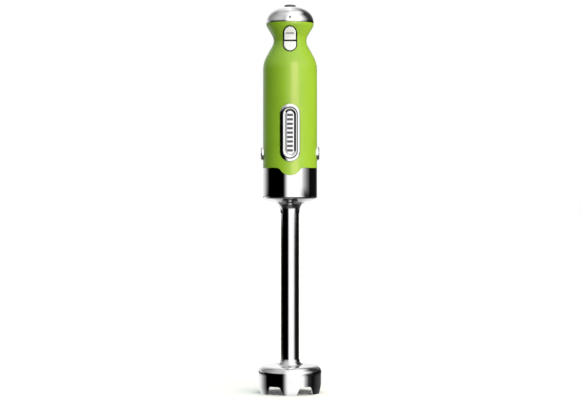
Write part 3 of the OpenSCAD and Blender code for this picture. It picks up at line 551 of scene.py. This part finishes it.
def circuit_board():
    """Solder resist over copper tracks."""
    n = Nodes("board")
    brick = n.add("ShaderNodeTexBrick", Scale=260.0)
    brick.inputs["Color1"].default_value = (0.02, 0.13, 0.05, 1)
    brick.inputs["Color2"].default_value = (0.03, 0.20, 0.08, 1)
    brick.inputs["Mortar"].default_value = (0.01, 0.08, 0.03, 1)
    n.link(n.place, brick.inputs["Vector"])
    n.link(brick.outputs["Color"], n.shader.inputs["Base Color"])
    n.rough(n.noise(0.003), 0.3, 0.45)
    n.bump(brick.outputs["Fac"], 0.00004)
    return n.material


GREEN = (0.325, 0.565, 0.030)
POLISH = (1, 1, 14)
TURNED = (1, 1, 26)

materials = {
    "green_shell": plastic("green_shell", GREEN, 0.27, 0.33, 0.0016, 0.0000045, coat=0.25),
    "chrome_plate": metal("chrome_plate", (0.93, 0.93, 0.935), 0.015, 0.05, (1, 1, 1), 0.004,
                          0.0000012, 0.02),
    "polished_steel": metal("polished_steel", (0.90, 0.90, 0.905), 0.04, 0.10, POLISH, 0.006,
                            0.0000030, 0.03),
    "brushed_steel": metal("brushed_steel", (0.60, 0.61, 0.63), 0.22, 0.38, TURNED, 0.003,
                           0.0000100),
    "steel_laminations": laminations(),
    "black_plastic": plastic("black_plastic", (0.012, 0.012, 0.013), 0.34, 0.50, 0.0007,
                             0.000012),
    "grey_plastic": plastic("grey_plastic", (0.105, 0.108, 0.112), 0.36, 0.52, 0.0007, 0.000012),
    "nylon": plastic("nylon", (0.74, 0.71, 0.60), 0.36, 0.50, 0.0010, 0.000010),
    "rubber": plastic("rubber", (0.020, 0.020, 0.021), 0.62, 0.80, 0.0006, 0.000020),
    "seal_rubber": plastic("seal_rubber", (0.33, 0.045, 0.035), 0.45, 0.60, 0.0006, 0.000015),
    "copper": windings(),
    "bronze": metal("bronze", (0.55, 0.36, 0.15), 0.28, 0.46, (1, 1, 1), 0.0004, 0.000010),
    "brass": metal("brass", (0.78, 0.58, 0.24), 0.16, 0.32, TURNED, 0.002, 0.000006),
    "board": circuit_board(),
    "carbon": plastic("carbon", (0.030, 0.030, 0.032), 0.48, 0.66, 0.0004, 0.000014),
}
gloss_black = plastic("gloss_black", (0.010, 0.010, 0.011), 0.08, 0.16, 0.0012, 0.000003, 0.4)
switch_silver = plastic(
    "switch_silver", (0.93, 0.95, 0.98), 0.22, 0.30, 0.0006, 0.000004, 0.2)
grey_enamel = plastic("grey_enamel", (0.11, 0.11, 0.115), 0.38, 0.50, 0.0005, 0.000006)


def finish(obj, body, slot_name, *replaced, material=None):
    """Rides a finished piece on its body, in the material of its slot."""
    obj.data.materials.clear()
    obj.data.materials.append(material or materials[slot_name])
    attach(obj, body)
    if replaced:
        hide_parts(*replaced)
    return obj


# ---------- Handle ----------

def hem_outline(gap, below):
    """Outline of the space under the handle's lower edge, with the front lobe left out."""
    half = LOBE_W / 2
    edge, low = HEM_Z - gap, HEM_Z - LOBE_DROP - gap
    start, end = half - LOBE_STEP, half * LOBE_FLAT
    slope = math.atan(LOBE_DROP / (start - end))
    fillet = 0.92 * end / math.tan(slope / 2)
    wide = 2 * HANDLE_R
    far = HEM_Z - BEYOND if below else RIM_Z + BEYOND
    return rounded([
        (-wide, edge), (-start, edge, LOBE_FILLET), (-end, low, fillet), (end, low, fillet),
        (start, edge, LOBE_FILLET), (wide, edge), (wide, far), (-wide, far),
    ])


def box_outline(x0, x1, z0, z1):
    return [(x0, z0), (x1, z0), (x1, z1), (x0, z1)]


def window(w, h, z):
    """Closed outline of the window for an upright pill, with its clearance."""
    w, h = w + 2 * WINDOW_GAP, h + 2 * WINDOW_GAP
    return mirrored(slab_half(w, z - h / 2, z + h / 2, w / 2, w / 2, 0.0, 5.0))


def side_rod(name, r, side, near, far):
    """A round bar along X on one side, at the release buttons' height."""
    turn = Matrix.Translation((0, 0, RELEASE_Z)) @ Matrix.Rotation(side * math.pi / 2, 4, "Y")
    bm = bmesh.new()
    bmesh.ops.create_cone(bm, cap_ends=True, segments=128, radius1=r, radius2=r, depth=far - near)
    bmesh.ops.translate(bm, vec=(0, 0, (far + near) / 2), verts=bm.verts)
    bmesh.ops.transform(bm, matrix=turn, verts=bm.verts)
    return from_bmesh(name, bm)


def make_housing():
    """The green shell, with its lower edge and its windows cut."""
    outer = neck_corners(0, SKIRT_Z, RIM_Z)
    outer[0] = (RIM_R, RIM_Z, RIM_FILLET)
    inner = neck_corners(-HANDLE_WALL, SKIRT_Z, RIM_Z)
    outline = rounded(outer + inner[::-1])
    shell = lathe("handle_shell", outline)
    wide = 2 * HANDLE_R
    cut(
        shell,
        prism("below_front", hem_outline(0, True), -wide, 0.0),
        prism("below_back", box_outline(-wide, wide, HEM_Z - BEYOND, HEM_Z), -SEAM, wide),
        prism("switch_window", window(SWITCH_W, SWITCH_H, SWITCH_Z), -wide, -SWITCH_WINDOW_BACK),
    )
    pocket = prism("badge_window", window(BADGE_W, BADGE_H, BADGE_Z), -wide, 0)
    core_r = BADGE_SEAT_R - WINDOW_GAP
    core = [(1, SKIRT_Z), (core_r, SKIRT_Z), (core_r, RIM_Z), (1, RIM_Z)]
    cut(shell, cut(pocket, lathe("pocket_core", core)))
    for side in (-1, 1):
        bore = RELEASE_R + RELEASE_GAP
        cut(shell, side_rod("release_window", bore, side, RELEASE_WINDOW_BACK, wide))
    shade_lathe(shell, outline)
    return finish(shell, "handle", "green_shell", "housing")


def make_bezel():
    """The narrow gloss ring round the two buttons, rounded across its width."""
    z0, z1 = SWITCH_Z - SWITCH_H / 2, SWITCH_Z + SWITCH_H / 2
    edge_out, crown, steps = 0.05, 0.45, 12

    def ring_at(inset):
        return mirrored(slab_half(SWITCH_W, z0, z1, SWITCH_W / 2, SWITCH_W / 2, inset))

    rings = []
    for i in range(steps + 1):
        turn = math.pi * i / steps
        inset = SWITCH_RING * (1 - math.cos(turn)) / 2
        rings.append(on_neck(ring_at(inset), edge_out + crown * math.sin(turn)))
    rings.append(at_depth(ring_at(SWITCH_RING), BUTTON_BACK))
    rings.append(at_depth(ring_at(0.0), BUTTON_BACK))
    ring = loft("switch_ring", rings, loop=True)
    return finish(ring, "handle", "black_plastic", "switch_bezel", material=gloss_black)


def make_button(node, name, w, z_low, z_high, r_low, r_high):
    """A switch button: a thin crowned cap that follows the neck, with rolled edges."""
    edge, steps = 0.7, 8
    half = w / 2
    back = BUTTON_BACK + 0.6

    def ring_at(inset):
        return mirrored(slab_half(w, z_low, z_high, r_low, r_high, inset))

    rings = [at_depth(ring_at(inset), back)
             for inset in (half - 0.4, half * 0.6, half * 0.3, 0.9, 0.0)]
    for i in range(steps + 1):
        turn = math.pi / 2 * i / steps
        inset = edge * (1 - math.cos(turn))
        out = SWITCH_PROUD - edge + edge * math.sin(turn)
        rings.append(on_neck(ring_at(inset), out, BUTTON_FLAT))
    for i in range(1, steps + 1):
        inset = edge + (half - 0.25 - edge) * i / steps
        rings.append(on_neck(ring_at(inset), SWITCH_PROUD, BUTTON_FLAT))
    finish(loft(name, rings), node, "chrome_plate", node, material=switch_silver)


def make_stem(node, name, z):
    """The guide stem behind a button, from just under the neck's surface to the node's back."""
    place = Matrix.Translation((0, 0, z)) @ Matrix.Rotation(math.pi / 2, 4, "X")
    front = -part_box(node)[1].y / MM
    back = neck_r(z) - STEM_INSET
    chamfer = 0.3
    outline = [
        (0, front), (STEM_R - chamfer, front), (STEM_R, front - chamfer), (STEM_R, back),
        (0, back),
    ]
    stem = lathe(name, outline, 48, place)
    shade_lathe(stem, outline, place)
    finish(stem, node, "chrome_plate")


def make_switches():
    """Two buttons that fill the ring, parted by a gap, and a ridge on the upper one."""
    inner_w = SWITCH_W - 2 * SWITCH_RING
    top = SWITCH_Z + SWITCH_H / 2 - SWITCH_RING - BUTTON_GAP
    bottom = SWITCH_Z - SWITCH_H / 2 + SWITCH_RING + BUTTON_GAP
    turbo_w, on_w = inner_w - 1, inner_w - 0.5
    make_button("turbo_button", "turbo_switch", turbo_w, SPLIT_Z + SPLIT_GAP / 2, top,
                BUTTON_CORNER, turbo_w / 2)
    make_stem("turbo_button", "turbo_stem", TURBO_Z)
    make_button("on_button", "on_switch", on_w, bottom, SPLIT_Z - SPLIT_GAP / 2, on_w / 2,
                BUTTON_CORNER)
    make_stem("on_button", "on_stem", ON_Z)
    ridge_w, ridge_h = 8.4, 1.1
    ridge = []
    for inset, out in ((0.45, -0.02), (0.0, -0.02), (0.0, 0.02), (0.15, 0.12), (0.45, 0.14)):
        half = slab_half(ridge_w, TURBO_Z - ridge_h / 2, TURBO_Z + ridge_h / 2, 0.5, 0.5, inset,
                         0.7)
        ridge.append(on_neck(mirrored(half), SWITCH_PROUD + out, BUTTON_FLAT))
    finish(loft("turbo_ridge", ridge), "turbo_button", "grey_plastic")


def make_badge():
    """A stepped frame that slopes down to a plate with a ladder of bars."""
    z0, z1 = BADGE_Z - BADGE_H / 2, BADGE_Z + BADGE_H / 2
    end_slope = 1
    inner_w, inner_h = BADGE_W - 2 * BADGE_BEAD, BADGE_H - 2 * (BADGE_BEAD + end_slope)
    outer = slab_half(BADGE_W, z0, z1, BADGE_W / 2, BADGE_W / 2, 0.0, 1.2)
    inner = resampled_like(outer, inner_w, inner_h)

    def ring_of(name, section, *placed, material=None):
        """A ring whose section is given by shares of the frame's width from its outer edge and
        by heights above the grip."""
        rings = []
        for share, height in section:
            half = [(a[0] + (b[0] - a[0]) * share, a[1] + (b[1] - a[1]) * share)
                    for a, b in zip(outer, inner)]
            rings.append(on_grip(mirrored(half), HANDLE_R + height))
        finish(loft(name, rings, loop=True), "handle", "chrome_plate", *placed, material=material)

    seat = BADGE_SEAT_R - HANDLE_R
    bead = rounded([
        (0.0, -0.2), (0.0, 0.62, 0.35), (0.49, 0.95, 0.12), (0.53, 0.70, 0.08), (0.70, 0.45, 0.2),
        (1.0, -0.85, 0.1), (1.0, -1.2),
    ], 12.0)
    ring_of("badge_bead", bead + [(1.0, seat), (0.0, seat)], "badge_frame")
    inlay = [(0.40, 0.6), (0.40, 0.92), (0.42, 0.99), (0.54, 0.94), (0.575, 0.74), (0.58, 0.4)]
    ring_of("badge_inlay", inlay, material=materials["black_plastic"])

    gap, edge, centre, steps = 0.1, 0.25, 0.3, 8
    w, h = inner_w - 2 * gap, inner_h - 2 * gap
    z0, z1 = BADGE_Z - h / 2, BADGE_Z + h / 2
    section = [(w / 2 - centre, BADGE_SEAT_R), (w / 4, BADGE_SEAT_R), (0.0, BADGE_SEAT_R)]
    section += [(0.0, BADGE_FACE_R - edge), (0.08, BADGE_FACE_R - 0.08), (edge, BADGE_FACE_R)]
    section += [(edge + (w / 2 - edge - centre) * i / steps, BADGE_FACE_R)
                for i in range(1, steps + 1)]
    rings = [on_grip(mirrored(slab_half(w, z0, z1, w / 2, w / 2, inset)), r)
             for inset, r in section]
    finish(loft("badge_face", rings), "handle", "chrome_plate", "badge_plate")

    section = ((0.7, -0.1), (0.0, -0.1), (0.0, 0.16), (0.12, 0.3), (0.35, 0.38), (0.75, 0.4))
    pitch = (h - w) / (BARS - 1)
    for i in range(BARS):
        z = BADGE_Z + (i - (BARS - 1) / 2) * pitch
        rings = []
        for inset, out in section:
            half = slab_half(BAR_SHARE * w, z - BAR_H / 2, z + BAR_H / 2, 0.6, 0.6, inset, 0.6)
            rings.append(on_grip(mirrored(half), BADGE_FACE_R + out))
        finish(loft(f"badge_bar_{i}", rings), "handle", "chrome_plate", material=grey_enamel)


def resampled_like(outer, w, h):
    """Right half of a pill with as many points as another half pill, point facing point."""
    points = []
    top, bottom = BADGE_Z + (h - w) / 2, BADGE_Z - (h - w) / 2
    outer_top = BADGE_Z + (BADGE_H - BADGE_W) / 2
    outer_bottom = BADGE_Z - (BADGE_H - BADGE_W) / 2
    for x, z in outer:
        if z > outer_top:
            turn = math.atan2(z - outer_top, x)
            points.append((w / 2 * math.cos(turn), top + w / 2 * math.sin(turn)))
        elif z < outer_bottom:
            turn = math.atan2(z - outer_bottom, x)
            points.append((w / 2 * math.cos(turn), bottom + w / 2 * math.sin(turn)))
        else:
            share = (z - outer_bottom) / (outer_top - outer_bottom)
            points.append((w / 2, bottom + (top - bottom) * share))
    return points


def make_release_button(side, body, node):
    """A round button with a rolled edge and a finger groove across its face."""
    turn = Matrix.Translation((0, 0, RELEASE_Z)) @ Matrix.Rotation(side * math.pi / 2, 4, "Y")
    face, back = RELEASE_X, RELEASE_BACK
    lip_r, lip_front = RELEASE_R + RELEASE_LIP, RELEASE_BACK + RELEASE_LIP_H
    edge, crown, groove_depth = 1.6, 0.25, 0.8
    outline = rounded([
        (0, back), (lip_r, back), (lip_r, lip_front), (RELEASE_R, lip_front),
        (RELEASE_R, face - crown, edge), (2.0, face), (0, face),
    ])
    button = lathe(f"release_cap_{body}", outline, 128, turn)
    near, far = sorted((side * (face - groove_depth), side * (face + 1)))
    low, high = RELEASE_Z + GROOVE_LOW, RELEASE_Z + GROOVE_LOW + GROOVE_H
    cut(button, prism("groove", box_outline(near, far, low, high), -lip_r - 1, lip_r + 1))
    shade_lathe(button, outline, turn)
    finish(button, body, "chrome_plate", node)


# ---------- Dial ----------

def make_dial():
    """The domed speed dial with its hub, one turned shell."""
    z = dial_low.z
    step_z, hub_z = dial_high.z - 5, z + 3
    outer = superellipse(RIM_R, DIAL_SWELL, z, DIAL_BORE)
    inner = superellipse(RIM_R - DIAL_WALL, DIAL_SWELL - DIAL_WALL, z, HUB_OUT)
    outline = outer + [(DIAL_BORE, step_z), (HUB_IN, step_z), (HUB_IN, hub_z), (HUB_OUT, hub_z)]
    outline += inner[::-1]
    dome = lathe("dial_dome", outline, 256)
    shade_lathe(dome, outline)
    finish(dome, "dial", "chrome_plate", "speed_dial")


def make_dot():
    """The dark index mark on the front of the dome."""
    middle = RIM_Z + 4.4
    dot_w, dot_h, corner = 1.7, 2.2, 0.7

    def on_dome(ring, out):
        points = []
        for x, z in ring:
            rise = (z - dial_low.z) / DIAL_SWELL
            r = RIM_R * (1 - rise ** DIAL_POWER) ** (1 / DIAL_POWER) + out
            points.append((x, -math.sqrt(r * r - x * x), z))
        return points

    rings = []
    for inset, out in ((0.4, -0.3), (0.0, -0.3), (0.0, 0.0), (0.12, 0.07), (0.4, 0.1)):
        half = slab_half(dot_w, middle - dot_h / 2, middle + dot_h / 2, corner, corner, inset, 0.4)
        rings.append(on_dome(mirrored(half), out))
    finish(loft("index_dot", rings), "dial", "black_plastic", "dial_mark")


# ---------- Shaft ----------

def make_collar():
    """The bright collar, from its trumpet on the tube up to the handle's lower edge."""
    bore = TUBE_R + TUBE_GAP
    rise = SHAFT_RISE
    seam = 0.15
    ledge = HEM_Z - 10.5
    inset_r = INNER_R - 6
    outline = rounded([
        (bore, rise - 15), (TUBE_R + 0.25, rise - 15), (TUBE_R + 0.8, rise - 7.5, 10),
        (TUBE_R + 6, rise - 3.4, 10), (HANDLE_R, rise + 0.4, 2.5), (HANDLE_R, HEM_Z + 1),
        (INNER_R, HEM_Z + 1), (INNER_R, ledge), (inset_r, ledge), (inset_r, ledge - 5),
        (INNER_R, ledge - 8), (INNER_R, rise + 3), (bore, rise + 3),
    ])
    collar = lathe("collar_shell", outline)
    wide = 2 * HANDLE_R
    cut(
        collar,
        prism("above_front", hem_outline(seam, False), -wide, 0.0),
        prism("above_back", box_outline(-wide, wide, HEM_Z - seam, RIM_Z), -SEAM, wide),
    )
    shade_lathe(collar, outline)
    finish(collar, "shaft", "chrome_plate", "shaft_collar")


def make_tube():
    """The shaft's bare tube."""
    inner_r = TUBE_R - TUBE_WALL
    outline = [
        (inner_r, tube_low.z), (TUBE_R, tube_low.z), (TUBE_R, tube_high.z),
        (inner_r, tube_high.z),
    ]
    tube = lathe("bare_tube", outline)
    shade_lathe(tube, outline)
    finish(tube, "shaft", "polished_steel", "shaft_tube")


def make_guard():
    """The footed bell round the blade."""
    bore = TUBE_R + TUBE_GAP
    h, in_r = GUARD_H, GUARD_R - GUARD_WALL
    top = h + GUARD_NECK_H
    slope, foot_h = 1.1, 7
    bush_r, bush_top = 6, h - 2.7
    boss_r, boss_z = 11.5, h - 14.7
    ceiling = h - GUARD_WALL - 0.6
    outline = rounded([
        (GUARD_R - slope, 0), (GUARD_R, foot_h), (GUARD_R, h - 1, 6.8), (TUBE_R + 3.7, h, 1.6),
        (TUBE_R + 0.7, h + 3.4, 2), (TUBE_R + 0.3, top), (bore, top), (bore, bush_top),
        (bush_r, bush_top), (bush_r, boss_z), (boss_r, boss_z), (boss_r, ceiling),
        (in_r, ceiling - 0.3, 5), (in_r, foot_h), (in_r - slope, 0),
    ])
    guard = lathe("guard_bell", outline, 252)
    half = GUARD_R * math.sin(math.radians(17.5))
    lean, arch_h, flare, near = 3.3, 8.5, 1.2, 14
    arch = rounded([
        (-half - flare, -2), (half + flare, -2), (half, 0, 2), (half - lean, arch_h, 3),
        (-half + lean, arch_h, 3), (-half, 0, 2),
    ])
    for i in range(FEET):
        turn = math.radians(180 / FEET + 360 / FEET * i)
        cut(guard, prism("arch", arch, near, 2 * GUARD_R, turn))
    shade_lathe(guard, outline)
    finish(guard, "shaft", "polished_steel", "blade_guard")


shell = make_housing()
make_bezel()
make_switches()
make_badge()
for side, word in ((-1, "left"), (1, "right")):
    make_release_button(side, f"release_{word}", f"release_button_{word}")
make_dial()
make_dot()
make_collar()
make_tube()
make_guard()

# The nodes that keep their own shape take the material of their slot
slot_names = {part["node"]: part["material_slot"] for part in frame["record"]["subparts"]}
for node, obj in frame["nodes"].items():
    material = materials[slot_names[node]]
    if not obj.material_slots:
        obj.data.materials.append(material)
    for entry in obj.material_slots:
        entry.material = material


# ---------- Studio ----------

def make_world():
    """Soft boxes and dark cards round the object, as bands of azimuth seen from its centre.
    Azimuth 0 is towards the camera and + is to its right."""
    world = bpy.data.worlds.new("studio")
    bpy.context.scene.world = world
    world.use_nodes = True
    tree = world.node_tree
    tree.nodes.clear()

    def add(kind, **settings):
        node = tree.nodes.new(kind)
        for key, value in settings.items():
            setattr(node, key, value)
        return node

    def math_node(operation, a, b=0.0, c=0.0, clamp=False):
        node = add("ShaderNodeMath", operation=operation, use_clamp=clamp)
        for i, value in enumerate((a, b, c)):
            if isinstance(value, bpy.types.NodeSocket):
                tree.links.new(value, node.inputs[i])
            else:
                node.inputs[i].default_value = value
        return node.outputs[0]

    def ramp(source, stops):
        node = add("ShaderNodeValToRGB")
        elements = node.color_ramp.elements
        while len(elements) > 1:
            elements.remove(elements[-1])
        for i, (position, value) in enumerate(stops):
            element = elements[0] if i == 0 else elements.new(position)
            element.position = position
            element.color = (value, value, value, 1)
        tree.links.new(source, node.inputs["Fac"])
        return node.outputs["Color"]

    def bands(stops):
        return ramp(azimuth, [((degrees + 180) / 360, value) for degrees, value in stops])

    def blend(factor, a, b):
        node = add("ShaderNodeMix", data_type="FLOAT")
        for socket, value in zip(
            (node.inputs[0], node.inputs[2], node.inputs[3]), (factor, a, b)
        ):
            if isinstance(value, bpy.types.NodeSocket):
                tree.links.new(value, socket)
            else:
                socket.default_value = value
        return node.outputs[0]

    def rise(source, start, end):
        node = add("ShaderNodeMapRange", interpolation_type="SMOOTHSTEP")
        tree.links.new(source, node.inputs["Value"])
        node.inputs["From Min"].default_value = start
        node.inputs["From Max"].default_value = end
        return node.outputs["Result"]

    parts = add("ShaderNodeSeparateXYZ")
    tree.links.new(add("ShaderNodeTexCoord").outputs["Generated"], parts.inputs[0])
    x, y, z = parts.outputs
    turn = math_node("ARCTAN2", x, math_node("MULTIPLY", y, -1.0))
    azimuth = math_node("ADD", math_node("DIVIDE", turn, 2 * math.pi), 0.5)

    level = bands([
        (-180, 0.9), (-150, 0.75), (-131, 0.50), (-114, 0.14), (-101, 0.0), (-29, 0.0),
        (-24, 0.05), (-9, 1.0), (50, 1.0), (60, 0.52), (76, 0.19), (93, 0.004), (138, 0.006),
        (160, 0.06), (172, 0.5), (180, 0.9),
    ])
    low_level = bands([
        (-180, 0.02), (-101, 0.0), (-29, 0.0), (-24, 0.05), (-9, 1.0), (42, 1.0), (56, 0.40),
        (66, 0.03), (93, 0.002), (180, 0.02),
    ])
    foot_level = bands([
        (-180, 0.9), (-140, 0.85), (-124, 0.50), (-106, 0.14), (-95, 0.0), (-29, 0.0),
        (-24, 0.05), (-9, 1.0), (50, 1.0), (60, 0.40), (72, 0.03), (93, 0.002), (150, 0.08),
        (180, 0.9),
    ])
    above = bands([
        (-180, 1.0), (-152, 0.6), (-130, 0.22), (-100, 0.30), (-70, 0.46), (-45, 0.55),
        (-28, 0.50), (-12, 1.0), (62, 1.0), (82, 0.42), (100, 0.05), (135, 0.03), (160, 0.2),
        (172, 0.6), (180, 1.0),
    ])
    crown = bands([
        (-180, 1.0), (-125, 0.45), (-60, 0.58), (-22, 0.85), (0, 1.0), (110, 1.0), (140, 0.5),
        (180, 1.0),
    ])
    below = bands([
        (-180, 0.3), (-140, 0.12), (-100, 0.02), (-50, 0.015), (-20, 0.10), (25, 0.10),
        (50, 0.02), (110, 0.02), (150, 0.12), (180, 0.3),
    ])
    # One set of bands gives way to the next between two heights of the direction looked in,
    # where 1 is straight up. The lowest is the even dark of the floor
    nadir = 0.02
    level = blend(rise(z, -0.016, -0.004), low_level, level)
    level = blend(rise(z, -0.096, -0.102), level, foot_level)
    seen = blend(rise(z, 0.10, 0.30), level, above)
    seen = blend(rise(z, 0.72, 0.92), seen, crown)
    seen = blend(rise(z, -0.30, -0.62), seen, below)
    seen = blend(rise(z, -0.93, -0.98), seen, nadir)
    brightness = 1.1
    seen = math_node("MULTIPLY", seen, brightness)

    # What lights the matt surfaces: stronger on the right, cool on the left and warm on the
    # right, with the least from the horizon
    soft = bands([
        (-180, 0.80), (-130, 0.40), (-90, 0.10), (-45, 0.12), (0, 1.0), (30, 2.9), (70, 1.9),
        (110, 0.9), (180, 0.65),
    ])
    soft = math_node("MULTIPLY", soft, blend(rise(z, -0.1, -0.6), 1.14, 0.63))
    soft = blend(rise(z, 0.45, 1.0), soft, 1.45)
    soft = math_node("MULTIPLY", soft, blend(rise(math_node("ABSOLUTE", z), 0.06, 0.3), 0.25, 1.0))
    warmth = rise(x, -0.4, 0.8)
    path = add("ShaderNodeLightPath")
    is_diffuse, is_glossy = path.outputs["Is Diffuse Ray"], path.outputs["Is Glossy Ray"]
    studio = math_node("MULTIPLY", seen, is_glossy)
    studio = math_node("ADD", studio, path.outputs["Is Camera Ray"])
    cool_side = math_node("MULTIPLY", soft, math_node("SUBTRACT", 1.0, warmth))
    warm_side = math_node("MULTIPLY", soft, warmth)
    lights = (
        ((1.0, 1.0, 1.0), studio),
        ((0.86, 1.0, 0.95), math_node("MULTIPLY", cool_side, is_diffuse)),
        ((1.10, 0.97, 0.88), math_node("MULTIPLY", warm_side, is_diffuse)),
    )
    shader = None
    for colour, strength in lights:
        background = add("ShaderNodeBackground")
        background.inputs["Color"].default_value = (*colour, 1)
        tree.links.new(strength, background.inputs["Strength"])
        if shader is None:
            shader = background.outputs[0]
            continue
        both = add("ShaderNodeAddShader")
        tree.links.new(shader, both.inputs[0])
        tree.links.new(background.outputs[0], both.inputs[1])
        shader = both.outputs[0]
    output = add("ShaderNodeOutputWorld")
    tree.links.new(shader, output.inputs[0])


def make_strip(shell):
    """A soft lamp for the broad reflection down the handle, a little right of its middle. It
    lights the handle's shell only, so that it leaves no mark on the bright metal."""
    distance, turn, height = 2.0, math.radians(20), 0.3
    lamp = bpy.data.lights.new("strip", "AREA")
    lamp.shape = "RECTANGLE"
    lamp.size, lamp.size_y = 1.1, 2.4
    lamp.color = (1.0, 0.58, 0.52)
    lamp.energy = 40.0
    strip = bpy.data.objects.new("strip", lamp)
    bpy.context.scene.collection.objects.link(strip)
    strip.location = (distance * math.sin(turn), -distance * math.cos(turn), height)
    strip.rotation_euler = (math.pi / 2, 0, turn)
    strip.visible_camera = False
    strip.visible_diffuse = False
    receivers = bpy.data.collections.new("strip_receivers")
    receivers.objects.link(shell)
    strip.light_linking.receiver_collection = receivers


def make_floor():
    """A plain pale floor, which the reflections leave out."""
    mesh = bpy.data.meshes.new("floor")
    bm = bmesh.new()
    bmesh.ops.create_grid(bm, x_segments=2, y_segments=2, size=20)
    bm.to_mesh(mesh)
    bm.free()
    floor = new_object("floor", mesh)
    n = Nodes("floor")
    n.set(Base_Color=(0.95, 0.95, 0.95, 1), Roughness=0.9, Emission_Color=(1, 1, 1, 1),
          Emission_Strength=0.03)
    floor.data.materials.append(n.material)
    floor.visible_glossy = False
    floor.visible_diffuse = False


def make_camera():
    """A level camera straight in front, at the photograph's distance and height."""
    camera = bpy.data.cameras.new("camera")
    camera.sensor_width = 36
    camera.lens = CAMERA_LENS
    obj = bpy.data.objects.new("camera", camera)
    obj.location = (0, -CAMERA_BACK, CAMERA_Z)
    obj.rotation_euler = (math.pi / 2, 0, 0)
    bpy.context.scene.collection.objects.link(obj)
    bpy.context.scene.camera = obj


make_world()
make_strip(shell)
make_floor()
make_camera()
bpy.context.scene.view_settings.view_transform = "Standard"
